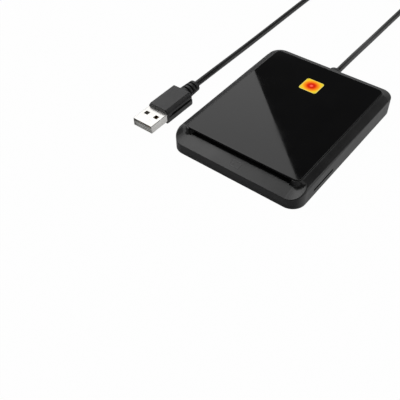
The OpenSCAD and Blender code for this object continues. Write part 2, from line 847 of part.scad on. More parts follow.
// Least gap of the coil to itself, between points at least a third of a turn apart
apart = coil_steps/3;
coil_gap = min([for (i = [0:len(coil_path) - 1 - apart]) min([for (j = [i + apart:len(coil_path) - 1])
  norm(coil_path[i] - coil_path[j])])]) - cord_d;
echo(coil_gap = coil_gap);

// Wires from the gland to the housing: stacked at the gland, side by side at the housing
module signal_wires() {
  start_y = back_y - wall_t - inner_flange_l - seat_gap;
  end_y = header_y - header_l/2 + housing_l + hinge_gap;
  turn = wire_turn_share*wire_d;
  colors = ["#c03030", "#e8e8e8", "#2f8f4e", "#202020"];
  for (i = [0:wire_count - 1]) {
    place = i - (wire_count - 1)/2;
    start_z = cord_exit_h + place*wire_d*wire_stack_share;
    end_x = header_x - place*wire_pitch;
    end_z = board_top_z + header_wall + wire_d;
    route = [[0, start_y, start_z], [0, start_y - wire_d/2, start_z],
      [turn, start_y - turn, start_z], [end_x - 2*turn, start_y - turn, start_z],
      [end_x, board_back_y + wire_d/2, board_top_z + wire_d/2 + seat_gap],
      [end_x, end_y + wire_d/2, end_z], [end_x, end_y, end_z]];
    color(colors[i]) swept_tube(curve(route, wire_rings), wire_d, coil_sides);
  }
}

module case_screws() {
  at_corners(boss_x, boss_y) color("#9a9ea3") difference() {
    union() {
      translate([0, 0, case_z + head_depth])
        cylinder(d = head_d, h = head_h, $fn = round_fn);
      translate([0, 0, case_z + head_depth])
        cylinder(d = screw_d, h = screw_l, $fn = round_fn);
    }
    for (turn = [0, 90]) {
      translate([0, 0, case_z + head_depth]) rotate([0, 0, turn])
        cube([head_d*screw_slot_shares[0], head_d*screw_slot_shares[1],
          head_h*screw_slot_shares[2]], center = true);
    }
  }
}

module foot(side, end) {
  color("#202020") translate([side*foot_x, end*foot_y, 0])
    cylinder(d = foot_d, h = foot_t, $fn = round_fn);
}

// Gland moulded round the cord: collar outside, neck in the wall, flange inside
module cord_gland() {
  flange_y = -wall_t - inner_flange_l - seat_gap;
  color("#262626") translate([0, back_y, cord_exit_h]) rotate([-90, 0, 0]) rotate_extrude($fn = round_fn)
    polygon(concat(
      [[0, flange_y], [inner_flange_d/2, flange_y], [inner_flange_d/2, -wall_t - seat_gap],
       [neck_d/2, -wall_t - seat_gap], [neck_d/2, 0], [collar_d/2, 0]],
      arc_points([collar_d/2 - collar_r, collar_l - collar_r], collar_r, 0, 90),
      [[0, collar_l]]));
}

// Cross-section of the plug's grip: flat top and bottom, slanting shoulders, upright sides
module grip_section(w, h) {
  top_w = w*grip_top_share;
  shoulder = h*grip_bevel_share;
  polygon([[-w/2, -h/2 + shoulder/3], [-w/2 + shoulder/3, -h/2], [w/2 - shoulder/3, -h/2],
    [w/2, -h/2 + shoulder/3], [w/2, h/2 - shoulder], [top_w/2, h/2], [-top_w/2, h/2],
    [-w/2, h/2 - shoulder]]);
}

module plug_grip() {
  round_y = tail_y - grip_corner_r;
  color("#3c3c3c") difference() {
    union() {
      intersection() {
        hull() {
          grip_slice(root_y, grip_front_bevel, slice_t);
          grip_slice(root_y + grip_front_bevel, 0, grip_l - grip_front_bevel);
        }
        grip_plan();
      }
      plug_tail();
    }
    // Lengthwise grooves in the sides
    for (side = [-1, 1]) {
      centred_box([2*groove_d, grip_l, groove_h], [plug_x + side*grip_w/2,
        root_y + grip_l/2 + 2*grip_front_bevel, grip_h*groove_z_share - groove_h]);
    }
    // Pocket for the metal shell
    centred_box([shell_w + 2*hinge_gap, 2*shell_in, shell_h + 2*hinge_gap],
      [plug_x, root_y, plug_z - shell_h/2 - hinge_gap]);
  }
}

module grip_slice(y, inset, l) {
  translate([plug_x, y + l, plug_z]) rotate([90, 0, 0]) linear_extrude(height = l)
    grip_section(grip_w - 2*inset, grip_h - 2*inset);
}

// Plan of the grip, with round corners at the tail end
module grip_plan() {
  translate([plug_x, root_y + grip_l/2, -over]) linear_extrude(height = grip_h + 2*over) {
    translate([0, -grip_corner_r/2]) square([grip_w, grip_l - grip_corner_r], center = true);
    square([grip_w - 2*grip_corner_r, grip_l], center = true);
    for (side = [-1, 1]) {
      translate([side*(grip_w/2 - grip_corner_r), grip_l/2 - grip_corner_r])
        circle(r = grip_corner_r, $fn = round_fn);
    }
  }
}

// Ribbed tail: an oval that narrows to the cord, with slots cut part-way round
module tail_oval(y, w, h, l) {
  hull() {
    for (side = [-1, 1]) {
      translate([plug_x + side*(w - h)/2, y, plug_z]) rotate([-90, 0, 0])
        cylinder(d = h, h = l, $fn = hull_fn);
    }
  }
}

module plug_tail() {
  difference() {
    hull() {
      tail_oval(tail_y - over, tail_w, tail_h, over);
      tail_oval(plug_end_y - over, tail_end_w, tail_end_h, over);
    }
    for (i = [0:tail_grooves - 1]) {
      tail_slot(tail_y + tail_rib_l*tail_first_share + i*(tail_groove_l + tail_rib_l));
    }
  }
}

module tail_slot(y) {
  difference() {
    centred_box([tail_w + 2*over, tail_groove_l, tail_h + 2*over],
      [plug_x, y + tail_groove_l/2, plug_z - tail_h/2 - over]);
    centred_box([tail_end_w - 2*tail_groove_d, 2*tail_groove_l, tail_end_h - 2*tail_groove_d],
      [plug_x, y + tail_groove_l/2, plug_z - tail_end_h/2 + tail_groove_d]);
  }
}

module plug_shell() {
  l = shell_out + shell_in - hinge_gap;
  color("#d4d6d8") difference() {
    shell_tube(plug_tip_y, shell_w, shell_h, l);
    shell_tube(plug_tip_y - over, shell_w - 2*shell_t, shell_h - 2*shell_t, l + 2*over);
    for (side = [-1, 1]) {
      centred_box([shell_hole, shell_hole, shell_h + 2*over],
        [plug_x + side*shell_hole_x, plug_tip_y + shell_hole_y, plug_z - shell_h/2 - over]);
    }
  }
}

module shell_tube(y, w, h, l) {
  translate([plug_x, y + l, plug_z]) rotate([90, 0, 0]) rounded_plate(w, h, l, shell_t);
}

module plug_tongue() {
  w = shell_w - 2*shell_t - 2*tongue_gap;
  low_z = plug_z - shell_h/2 + shell_t + tongue_lift;
  l = shell_out + shell_in - tongue_back - 2*hinge_gap;
  color("#f4f4f2") {
    centred_box([w, l, tongue_t], [plug_x, plug_tip_y + tongue_back + l/2, low_z]);
    centred_box([w, shell_in, shell_h - 2*shell_t - 2*tongue_lift],
      [plug_x, root_y + shell_in/2 - hinge_gap, low_z]);
  }
}

module plug_pins() {
  low_z = plug_z - shell_h/2 + shell_t + tongue_lift + tongue_t;
  color("#d8b25a") for (i = [1:pin_count]) {
    centred_box([pin_w, pin_l, pin_t], [plug_x + (i - (pin_count + 1)/2)*pin_pitch,
      plug_tip_y + tongue_back + pin_back + pin_l/2, low_z]);
  }
}

top_case();
bottom_case();
top_panel();
indicator_window();
light_pipe();
circuit_board();
card_connector();
contact_tails();
card_switch();
switch_plunger();
small_card_base();
small_card_cover();
controller_chip();
crystal();
indicator_led();
chip_resistors();
cord_header();
cord_housing();
signal_wires();
case_screws();
foot(-1, -1);  // foot_front_left
foot(1, -1);  // foot_front_right
foot(-1, 1);  // foot_back_left
foot(1, 1);  // foot_back_right
cord_gland();
cord_near();
cord_coil();
cord_far();
plug_grip();
plug_shell();
plug_tongue();
plug_pins();
for (i = [1:8]) {
  card_contact(i);
}
for (i = [1:small_columns*small_rows]) {
  small_contact(i);
}
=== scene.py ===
import math
import bmesh
import bpy
from mathutils import Matrix, Vector


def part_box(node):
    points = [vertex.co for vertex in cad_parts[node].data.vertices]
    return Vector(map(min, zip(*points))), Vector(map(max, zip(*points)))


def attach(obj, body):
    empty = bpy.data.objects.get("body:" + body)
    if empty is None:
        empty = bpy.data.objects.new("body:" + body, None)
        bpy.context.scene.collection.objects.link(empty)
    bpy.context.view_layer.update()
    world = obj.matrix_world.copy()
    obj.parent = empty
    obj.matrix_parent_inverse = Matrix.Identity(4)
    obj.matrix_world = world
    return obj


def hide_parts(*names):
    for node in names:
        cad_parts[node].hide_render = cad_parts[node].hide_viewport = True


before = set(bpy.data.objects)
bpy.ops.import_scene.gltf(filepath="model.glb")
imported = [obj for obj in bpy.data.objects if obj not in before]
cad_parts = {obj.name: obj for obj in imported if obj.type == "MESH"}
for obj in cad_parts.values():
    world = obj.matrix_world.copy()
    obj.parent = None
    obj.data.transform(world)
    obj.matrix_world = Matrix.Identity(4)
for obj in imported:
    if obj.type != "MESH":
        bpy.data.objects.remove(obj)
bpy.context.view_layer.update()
print("frame loaded:", len(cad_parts), "nodes")

mm = 0.001

cameraSet = {
    "place": (113.59, -206.50, 196.25),  # mm
    "azimuth": 39.39,
    "elevation": 46.83,
    "roll": -1.61,
    "lens": 54.336,
    "sensor": 36.0,
    "clip": (0.01, 30),          # m
}

studio = {
    "floorSide": 9.0,            # m
    "floorColour": "#B4B4B6",    # grey paper, so that a wall near it mirrors grey and not a glare
    "floorPlain": 0.985,         # share of plain white for the camera; the rest holds the shadow
    "floorMirror": 0.46,         # the same share for mirrors
    "shadowStripMirror": 0.06,         # and in a strip before the case: a painted shadow on the floor, seen only in reflections, which keeps the case's front wall dark
    "stripSide": (0.050, 0.070),  # where the strip fades out, beside the middle
    "stripBack": (-0.046, -0.041),
    "farLeft": (-0.11, -0.075),  # the painted shadow's grey goes on beyond this
    "wall": 1.1,                 # white wall behind the desk
    "wallLeft": 0.12,            # the wall fades to this at the left, and to a share of it in front
    "wallFront": 0.05,
    "fadeLeft": (-0.75, -0.35),  # parts of a direction along X, Y and Z where the wall fades
    "fadeFront": (-0.3, 0.2),
    "wallTop": (0.42, 0.55),
    "ceiling": 0.06,
    "wallDip": 0.2,              # how much lower the wall's top is at the right
    "dipFrom": (0.05, 0.5),
    # each card: one corner and two edges in metres, and its radiance, where 1 is white
    "cards": {
        "leftCard": {"corner": (-0.6304, 0.8231, 0.5313), "along": (-0.3525, -1.3454, -0.1603),
                     "up": (0.5051, -0.1958, 0.5330), "radiance": 1.2},
        "topCard": {"corner": (-0.85, 0.45, 0.75), "along": (0.0, -0.9, 0.0),
                    "up": (0.45, 0.0, 0.40), "radiance": 1.28},
        "sideCard": {"corner": (-1.0, 0.12, 0.02), "along": (0.12, -0.85, 0.0),
                     "up": (0.0, 0.0, 0.5), "radiance": 1.5},
        "rightCard": {"corner": (1.02, 0.27, 0.22), "along": (-0.3, 0.45, 0.0),
                      "up": (-0.05, -0.03, 0.22), "radiance": 1.3},
        "fillCard": {"corner": (0.95, -0.45, 0.45), "along": (0.0, 0.7, 0.0),
                     "up": (-0.5, 0.0, 0.5), "radiance": 0.8},
    },
}


def srgb(text):
    # hex colour as written to the linear values that Blender wants
    parts = [int(text[i:i + 2], 16) / 255 for i in (1, 3, 5)]
    return (*(c / 12.92 if c <= 0.04045 else ((c + 0.055) / 1.055) ** 2.4 for c in parts), 1.0)


def addNode(tree, kind, inputs=None, **settings):
    # one node with its settings; an input takes a value, a socket, a node for its first output,
    # or a list of these
    node = tree.nodes.new(kind)
    for name, value in settings.items():
        setattr(node, name, value)
    for name, value in (inputs or {}).items():
        for source in value if isinstance(value, list) else [value]:
            if isinstance(source, bpy.types.Node):
                source = source.outputs[0]
            if isinstance(source, bpy.types.NodeSocket):
                tree.links.new(source, node.inputs[name])
            else:
                node.inputs[name].default_value = source
    return node


def newPiece(name, data):
    made = bpy.data.objects.new(name, data)
    bpy.context.collection.objects.link(made)
    return made


def newMaterial(name):
    # empty material and where a point lies on the object
    made = bpy.data.materials.new(name)
    made.use_nodes = True
    made.node_tree.nodes.clear()
    place = addNode(made.node_tree, "ShaderNodeTexCoord").outputs["Object"]
    return made, made.node_tree, place


def makeCamera(values):
    a, e, r = (math.radians(values[k]) for k in ("azimuth", "elevation", "roll"))
    back = Vector((math.sin(a) * math.cos(e), -math.cos(a) * math.cos(e), math.sin(e)))
    level = Vector((0, 0, 1)).cross(back).normalized()
    upright = back.cross(level)
    side = level * math.cos(r) + upright * math.sin(r)
    top = upright * math.cos(r) - level * math.sin(r)
    data = bpy.data.cameras.new("camera")
    data.lens = values["lens"]
    data.sensor_width = values["sensor"]
    data.clip_start, data.clip_end = values["clip"]
    camera = newPiece("camera", data)
    turn = Matrix((side, top, back)).transposed().to_4x4()
    camera.matrix_world = Matrix.Translation(Vector(values["place"]) * mm) @ turn
    bpy.context.scene.camera = camera


def addCard(name, card):
    # rectangular light from one corner and two edges, seen in reflections but not by the camera
    along, up = Vector(card["along"]), Vector(card["up"])
    data = bpy.data.lights.new(name, "AREA")
    data.shape = "RECTANGLE"
    data.size, data.size_y = along.length, up.length
    data.energy = card["radiance"] * math.pi * along.length * up.length
    lamp = newPiece(name, data)
    x, y = along.normalized(), up.normalized()
    turn = Matrix((x, y, x.cross(y))).transposed().to_4x4()
    lamp.matrix_world = Matrix.Translation(Vector(card["corner"]) + (along + up) / 2) @ turn
    lamp.visible_camera = False


def makeFloor(values):
    side = values["floorSide"] / 2
    mesh = bpy.data.meshes.new("floor")
    corners = [(-side, -side, 0), (side, -side, 0), (side, side, 0), (-side, side, 0)]
    mesh.from_pydata(corners, [], [(0, 1, 2, 3)])
    floor = newPiece("floor", mesh)
    # paper that the camera sees nearly white and mirrors see greyer, most of all in the strip of
    # painted shadow before the case and at the far left
    paper, tree, place = newMaterial("paperFloor")
    path = addNode(tree, "ShaderNodeLightPath").outputs
    eye = addNode(tree, "ShaderNodeMath", {0: path["Is Camera Ray"],
                                           1: path["Is Transmission Ray"]}, operation="MAXIMUM")
    eyeShare = addNode(tree, "ShaderNodeMath", {0: eye, 1: values["floorPlain"]},
                       operation="MULTIPLY")
    spot = addNode(tree, "ShaderNodeSeparateXYZ", {0: place}).outputs
    away = addNode(tree, "ShaderNodeMath", {0: spot["X"]}, operation="ABSOLUTE")
    fades = []
    for value, key in ((away, "stripSide"), (spot["Y"], "stripBack"), (spot["X"], "farLeft")):
        start, end = values[key]
        fades.append(addNode(tree, "ShaderNodeMapRange",
                             {"Value": value, "From Min": start, "From Max": end}))
    beside, behind, near = fades
    off = addNode(tree, "ShaderNodeMath", {0: beside, 1: behind}, operation="MAXIMUM")
    off = addNode(tree, "ShaderNodeMath", {0: off, 1: near}, operation="MULTIPLY")
    # painted shadow: in the strip, mirrors see much less of the plain white
    mirror = addNode(tree, "ShaderNodeMapRange", {"Value": off, "To Min": values["shadowStripMirror"],
                                                  "To Max": values["floorMirror"]})
    mirrorShare = addNode(tree, "ShaderNodeMath", {0: path["Is Glossy Ray"], 1: mirror},
                          operation="MULTIPLY")
    share = addNode(tree, "ShaderNodeMath", {0: eyeShare, 1: mirrorShare}, operation="MAXIMUM")
    lit = addNode(tree, "ShaderNodeBsdfDiffuse", {"Color": srgb(values["floorColour"])})
    plain = addNode(tree, "ShaderNodeEmission", {"Color": srgb("#FFFFFF"), "Strength": 1.0})
    both = addNode(tree, "ShaderNodeMixShader", {0: share, 1: lit, 2: plain})
    addNode(tree, "ShaderNodeOutputMaterial", {"Surface": both})
    mesh.materials.append(paper)


def makeWorld(values):
    # white wall behind, fading to the left and to the front, and a dim ceiling that comes lower
    # at the right
    world = bpy.data.worlds.new("studio")
    world.use_nodes = True
    bpy.context.scene.world = world
    tree = world.node_tree
    tree.nodes.clear()
    where = addNode(tree, "ShaderNodeTexCoord").outputs["Generated"]
    way = addNode(tree, "ShaderNodeSeparateXYZ", {0: where}).outputs
    fades = []
    for axis, band, low, high in (("X", "fadeLeft", values["wallLeft"], values["wall"]),
                                  ("Y", "fadeFront", values["wallFront"], 1.0),
                                  ("X", "dipFrom", 0.0, values["wallDip"])):
        start, end = values[band]
        fades.append(addNode(tree, "ShaderNodeMapRange",
                             {"Value": way[axis], "From Min": start, "From Max": end,
                              "To Min": low, "To Max": high}))
    side, front, dip = fades
    wall = addNode(tree, "ShaderNodeMath", {0: side, 1: front}, operation="MULTIPLY")
    level = addNode(tree, "ShaderNodeMath", {0: way["Z"], 1: dip}, operation="ADD")
    start, end = values["wallTop"]
    tone = addNode(tree, "ShaderNodeMapRange",
                   {"Value": level, "From Min": start, "From Max": end, "To Min": wall,
                    "To Max": values["ceiling"]})
    path = addNode(tree, "ShaderNodeLightPath").outputs
    seen = addNode(tree, "ShaderNodeMath", {0: path["Is Camera Ray"], 1: tone}, operation="MAXIMUM")
    sky = addNode(tree, "ShaderNodeBackground", {"Color": srgb("#FFFFFF"), "Strength": seen})
    addNode(tree, "ShaderNodeOutputWorld", {"Surface": sky})


makeCamera(cameraSet)
bpy.context.scene.view_settings.view_transform = "Standard"
makeFloor(studio)
makeWorld(studio)
for cardName, cardValues in studio["cards"].items():
    addCard(cardName, cardValues)
print("camera, floor and lights made")

# Cord: out of the collar, into a coil behind the reader, and back to the plug (mm)
cordSet = {
    "diameter": 3.2,
    "near": [(0, 49.4, 5), (0, 52.6, 5), (-0.7, 70, 4.1), (-1.7, 95, 2.3), (-2.1, 115, 1.7),
             (-2.1, 140, 1.7), (-2.1, 161.1, 1.7), (-2.1, 164.3, 1.7)],
    "far": [(-56.7, 164.3, 5.4), (-56.7, 161.1, 5.4), (-56.7, 145, 3.6), (-56.7, 130, 1.8),
            (-56.6, 100, 1.7), (-56, 50, 2.2), (-55, 15, 3.6), (-54.7, -0.4, 4), (-54.7, -3.6, 4)],
    "coil": {"x": -2.1, "y": 167.5, "radius": 27.3, "pitch": 3.65, "low": 1.7, "high": 5.4,
             "turns": 4.5, "climb": 0.5},
    "legSteps": 60,
    "turnSteps": 48,
    "closest": 0.02,   # points nearer than this to the last one are left out
    "sides": 6,        # Blender's bevel resolution
}


def curveThrough(route, steps):
    # Catmull-Rom curve whose first and last legs stay straight
    last = len(route) - 1
    points = [Vector(route[0])]
    for k in range(steps + 1):
        f = 1 + min(k / steps * (last - 2), last - 2 - 1e-6)
        i = int(f)
        t = f - i
        p0, p1, p2, p3 = (Vector(route[i + j]) for j in (-1, 0, 1, 2))
        points.append(0.5 * (2 * p1 + t * (p2 - p0) + t * t * (2 * p0 - 5 * p1 + 4 * p2 - p3)
                             + t ** 3 * (3 * p1 - p0 - 3 * p2 + p3)))
    points.append(Vector(route[-1]))
    return points


def coilPoints(coil, steps):
    # turns in on the desk, a climb of half a turn, and turns out again above them
    total = 2 * coil["turns"] + coil["climb"]
    middle = coil["x"] - coil["radius"]
    points = []
    for k in range(int(total * steps) + 1):
        t = k / steps
        radius = coil["radius"] - coil["pitch"] * min(t, total - t)
        rise = min(max((t - coil["turns"]) / coil["climb"], 0), 1)
        z = coil["low"] + (coil["high"] - coil["low"]) * (1 - math.cos(math.pi * rise)) / 2
        a = 2 * math.pi * t
        points.append(Vector((middle + radius * math.cos(a), coil["y"] + radius * math.sin(a), z)))
    return points


def makeCord(values):
    points = curveThrough(values["near"], values["legSteps"])
    points += coilPoints(values["coil"], values["turnSteps"])
    points += curveThrough(values["far"], values["legSteps"])
    clean = [points[0]]
    for p in points[1:]:
        if (p - clean[-1]).length > values["closest"]:
            clean.append(p)
    curve = bpy.data.curves.new("cord", "CURVE")
    curve.dimensions = "3D"
    # a curve's box reaches one radius out, so the points carry the tube's radius and the bevel is 1
    curve.bevel_depth = 1.0
    curve.bevel_resolution = values["sides"]
    curve.use_fill_caps = True
    line = curve.splines.new("POLY")
    line.points.add(len(clean) - 1)
    for point, p in zip(line.points, clean):
        point.co = (*(p * mm), 1)
        point.radius = values["diameter"] / 2 * mm
    line.use_smooth = True
    cord = newPiece("cord", curve)
    length = sum((b - a).length for a, b in zip(clean, clean[1:])) * mm
    print("cord length", round(length, 4))
    return cord, length


cord, cordLength = makeCord(cordSet)
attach(cord, "reader")
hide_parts("cord_near", "cord_coil", "cord_far")


def arcPoint(cx, cy, radius, degrees):
    a = math.radians(degrees)
    return Vector((cx + radius * math.cos(a), cy + radius * math.sin(a)))


def cleanMesh(mesh, weld=False):
    # faces turned outwards, and points in one place made one
    made = bmesh.new()
    made.from_mesh(mesh)
    if weld:
        bmesh.ops.remove_doubles(made, verts=made.verts, dist=0.001 * mm)
    bmesh.ops.recalc_face_normals(made, faces=made.faces)
    made.to_mesh(mesh)
    made.free()


def loftMesh(name, rings, caps=True):
    # closed skin over rings of points that all have the same count
    count = len(rings[0])
    mesh = bpy.data.meshes.new(name)
    verts = [tuple(p * mm) for ring in rings for p in ring]
    faces = []
    for i in range(len(rings) - 1):
        for k in range(count):
            n = (k + 1) % count
            faces.append((i * count + k, i * count + n, (i + 1) * count + n, (i + 1) * count + k))
    if caps:
        faces.append(tuple(reversed(range(count))))
        faces.append(tuple((len(rings) - 1) * count + k for k in range(count)))
    mesh.from_pydata(verts, [], faces)
    cleanMesh(mesh)
    return mesh


def outline(halfWidth, front, back, radius, z, steps=10):
    # rounded rectangle, anticlockwise from the right end of its back right corner
    right, left = halfWidth - radius, radius - halfWidth
    points = []
    for cx, cy, start in ((right, back - radius, 0), (left, back - radius, 90),
                          (left, front + radius, 180), (right, front + radius, 270)):
        for k in range(steps + 1):
            p = arcPoint(cx, cy, radius, start + 90 * k / steps)
            points.append(Vector((p.x, p.y, z)))
    return points


def block(name, loops, caps=True):
    return newPiece(name, loftMesh(name, loops, caps))


def prism(halfWidth, front, back, radius, low, high):
    return block("tool", [outline(halfWidth, front, back, radius, z) for z in (low, high)])


def box(low, high):
    x0, y0, z0 = low
    x1, y1, z1 = high
    corners = ((x1, y0), (x1, y1), (x0, y1), (x0, y0))
    return block("tool", [[Vector((x, y, z)) for x, y in corners] for z in (z0, z1)])


def applyModifiers(piece):
    graph = bpy.context.evaluated_depsgraph_get()
    graph.update()
    plain = bpy.data.meshes.new_from_object(piece.evaluated_get(graph), depsgraph=graph)
    piece.modifiers.clear()
    old = piece.data
    piece.data = plain
    plain.name = piece.name
    if old.users == 0:
        bpy.data.meshes.remove(old)


def carve(piece, tool, operation="DIFFERENCE"):
    # one boolean, applied at once, and its tool thrown away
    step = piece.modifiers.new("carve", "BOOLEAN")
    step.operation = operation
    step.object = tool
    step.solver = "EXACT"
    applyModifiers(piece)
    bpy.data.objects.remove(tool, do_unlink=True)


def smoothShade(piece, degrees=32):
    # smooth where faces meet at less than this angle, with normals that follow the large faces
    piece.data.shade_smooth()
    piece.data.set_sharp_from_angle(angle=math.radians(degrees))
    step = piece.modifiers.new("normals", "WEIGHTED_NORMAL")
    step.keep_sharp = True
    applyModifiers(piece)


def roundedSlab(name, halfWidth, front, back, radius, low, high, edge, steps=6):
    # rounded plate whose upper edge is a quarter round
    loops = [outline(halfWidth, front, back, radius, low)]
    for k in range(steps + 1):
        turn = math.pi / 2 * k / steps
        inset = edge * (1 - math.cos(turn))
        loops.append(outline(halfWidth - inset, front + inset, back - inset, radius - inset,
                             high - edge + edge * math.sin(turn)))
    return block(name, loops)


def joinMeshes(piece, *others):
    # other pieces' meshes become part of the first one
    made = bmesh.new()
    made.from_mesh(piece.data)
    for other in others:
        made.from_mesh(other.data)
        bpy.data.objects.remove(other, do_unlink=True)
    made.to_mesh(piece.data)
    made.free()


def rideAs(piece, slotName, dress, *nodes):
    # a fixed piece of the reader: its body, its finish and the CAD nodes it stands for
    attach(piece, "reader")
    if nodes:
        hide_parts(*nodes)
    piece.data.materials.clear()
    piece.data.materials.append(dress)


# One row per real material. Colours are those of the plain moulding. grain, cloud and rubWidth are
# in mm: the size of the fine texture, of the slow change in tone and gloss, and of worn edges.
finishSet = {
    # ABS from a spark-eroded mould: near black, satin, a fine even stipple, edges rubbed shinier
    "sparkErodedAbs": {"colour": "#111112", "tint": "#161617", "rough": (0.33, 0.39), "ior": 1.54,
                       "grain": 0.28, "depth": 0.004, "cloud": 11,
                       "rub": 0.3, "rubColour": "#232325", "rubWidth": 0.25},
    # cast acrylic, polished: a deep black mirror with a trace of haze
    "polishedAcrylic": {"colour": "#060607", "tint": "#09090A", "rough": (0.02, 0.045),
                        "ior": 1.49, "grain": 2.4, "depth": 0.0006, "cloud": 14},
    # soft PVC moulded over the plug and the collar: a greyer black than the case, and duller
    "overmouldedPvc": {"colour": "#29292A", "tint": "#2F2F30", "rough": (0.4, 0.48), "ior": 1.53,
                       "grain": 0.34, "depth": 0.004, "cloud": 5},
    # PVC jacket drawn through a die: satin with a slow ripple in its gloss
    "extrudedPvc": {"colour": "#131313", "tint": "#181818", "rough": (0.26, 0.32), "ior": 1.53,
                    "grain": 0.5, "depth": 0.0015, "cloud": 7},
    # nickel on a stamped and folded steel shell: bright, with drawing lines along the plug
    "nickelPlate": {"colour": "#F0EFEC", "tint": "#E9E7E3", "metallic": 1.0, "rough": (0.24, 0.3),
                    "grain": 0.3, "depth": 0.0001, "stretch": (1, 0.06, 1), "cloud": 3},
    # gold flash on copper alloy: warm, with a soft gloss
    "goldPlate": {"colour": "#D9AE58", "tint": "#C99C46", "metallic": 1.0, "rough": (0.18, 0.3),
                  "grain": 0.15, "depth": 0.001, "stretch": (0.1, 1, 1), "cloud": 1.5},
    # tinned sheet steel, pressed: grey and a little cloudy
    "tinnedSheet": {"colour": "#BFC0BE", "tint": "#ABADAC", "metallic": 1.0, "rough": (0.28, 0.42),
                    "grain": 0.4, "depth": 0.003, "cloud": 4},
    # zinc on a screw's steel, blue passivated
    "zincPlate": {"colour": "#B4B9C0", "tint": "#A4A9AC", "metallic": 1.0, "rough": (0.24, 0.38),
                  "grain": 0.2, "depth": 0.003, "cloud": 1.2},
    # glass-filled LCP of connectors: dead black with fibre ends that show as specks
    "mouldedLcp": {"colour": "#151515", "tint": "#222222", "rough": (0.45, 0.6), "ior": 1.62,
                   "grain": 0.2, "depth": 0.005, "cloud": 0.8},
    # epoxy of chips and resistors: matt, dark grey
    "mouldedEpoxy": {"colour": "#1B1B1C", "tint": "#242424", "rough": (0.5, 0.65), "ior": 1.55,
                     "grain": 0.15, "depth": 0.004, "cloud": 1.5},
    # acetal of the plunger: waxy white
    "mouldedAcetal": {"colour": "#E4E2DA", "tint": "#DBD8CE", "rough": (0.28, 0.36), "ior": 1.48,
                      "grain": 0.3, "depth": 0.002, "cloud": 2},
    # glass-filled nylon of the plug's tongue: plain white
    "mouldedNylon": {"colour": "#ECECE8", "tint": "#E2E2DC", "rough": (0.38, 0.5), "ior": 1.53,
                     "grain": 0.25, "depth": 0.003, "cloud": 3},
    # milky polycarbonate of the light pipe
    "milkyPolycarbonate": {"colour": "#F0E6C6", "tint": "#E8DCB6", "rough": (0.3, 0.4),
                           "ior": 1.58, "grain": 0.5, "depth": 0.002, "cloud": 4},
    # white ceramic of the lamp's body
    "lampCeramic": {"colour": "#F2EFE2", "tint": "#E8E2C8", "rough": (0.4, 0.5), "ior": 1.55,
                    "grain": 0.2, "depth": 0.002, "cloud": 0.8},
    # thin PVC sleeves of the wires
    "wirePvc": {"colour": "#C8C8C6", "tint": "#B2B2B0", "rough": (0.32, 0.42), "ior": 1.53,
                "grain": 0.4, "depth": 0.003, "cloud": 2},
    # rubber feet, pressed: dull, dusty and pitted
    "pressedRubber": {"colour": "#1C1C1C", "tint": "#2A2A29", "rough": (0.7, 0.85), "ior": 1.52,
                      "grain": 0.4, "depth": 0.02, "cloud": 2.5},
}
cloudBand = (0.35, 0.65)   # part of the noise over which the cloud goes from colour to tint
rubBand = (0.995, 0.9)     # match of rounded and true normal, from no wear to full wear


def makeFinish(name, look):
    made, tree, place = newMaterial(name)
    drawn = addNode(tree, "ShaderNodeMapping", {"Vector": place,
                                                "Scale": look.get("stretch", (1, 1, 1))})
    grain = addNode(tree, "ShaderNodeTexNoise", {"Vector": drawn, "Scale": 1 / (look["grain"] * mm),
                                                 "Detail": 2.0}).outputs["Fac"]
    cloud = addNode(tree, "ShaderNodeTexNoise", {"Vector": place, "Scale": 1 / (look["cloud"] * mm),
                                                 "Detail": 3.0}).outputs["Fac"]
    start, end = cloudBand
    amount = addNode(tree, "ShaderNodeMapRange", {"Value": cloud, "From Min": start,
                                                  "From Max": end})
    colour = addNode(tree, "ShaderNodeMix", {0: amount, 6: srgb(look["colour"]),
                                             7: srgb(look["tint"])}, data_type="RGBA").outputs[2]
    low, high = look["rough"]
    rough = addNode(tree, "ShaderNodeMapRange", {"Value": amount, "To Min": low, "To Max": high})
    if "rub" in look:
        # edges that hands and desks rub: where the rounded normal leaves the true one
        near = addNode(tree, "ShaderNodeBevel", {"Radius": look["rubWidth"] * mm}, samples=4)
        true = addNode(tree, "ShaderNodeNewGeometry").outputs["Normal"]
        match = addNode(tree, "ShaderNodeVectorMath", {0: near, 1: true}, operation="DOT_PRODUCT")
        start, end = rubBand
        worn = addNode(tree, "ShaderNodeMapRange",
                       {"Value": match.outputs["Value"], "From Min": start, "From Max": end,
                        "To Max": look["rub"]})
        patch = addNode(tree, "ShaderNodeMath", {0: worn, 1: cloud}, operation="MULTIPLY")
        colour = addNode(tree, "ShaderNodeMix", {0: patch, 6: colour, 7: srgb(look["rubColour"])},
                         data_type="RGBA").outputs[2]
        rough = addNode(tree, "ShaderNodeMath", {0: rough, 1: patch}, operation="SUBTRACT")
    bump = addNode(tree, "ShaderNodeBump", {"Height": grain, "Distance": look["depth"] * mm,
                                            "Strength": 1.0})
    shader = addNode(tree, "ShaderNodeBsdfPrincipled",
                     {"Base Color": colour, "Roughness": rough, "Normal": bump,
                      "Metallic": look.get("metallic", 0.0)})
    if "ior" in look:
        shader.inputs["IOR"].default_value = look["ior"]
    addNode(tree, "ShaderNodeOutputMaterial", {"Surface": shader})
    return made


finishes = {name: makeFinish(name, look) for name, look in finishSet.items()}
print("finishes made:", len(finishes))

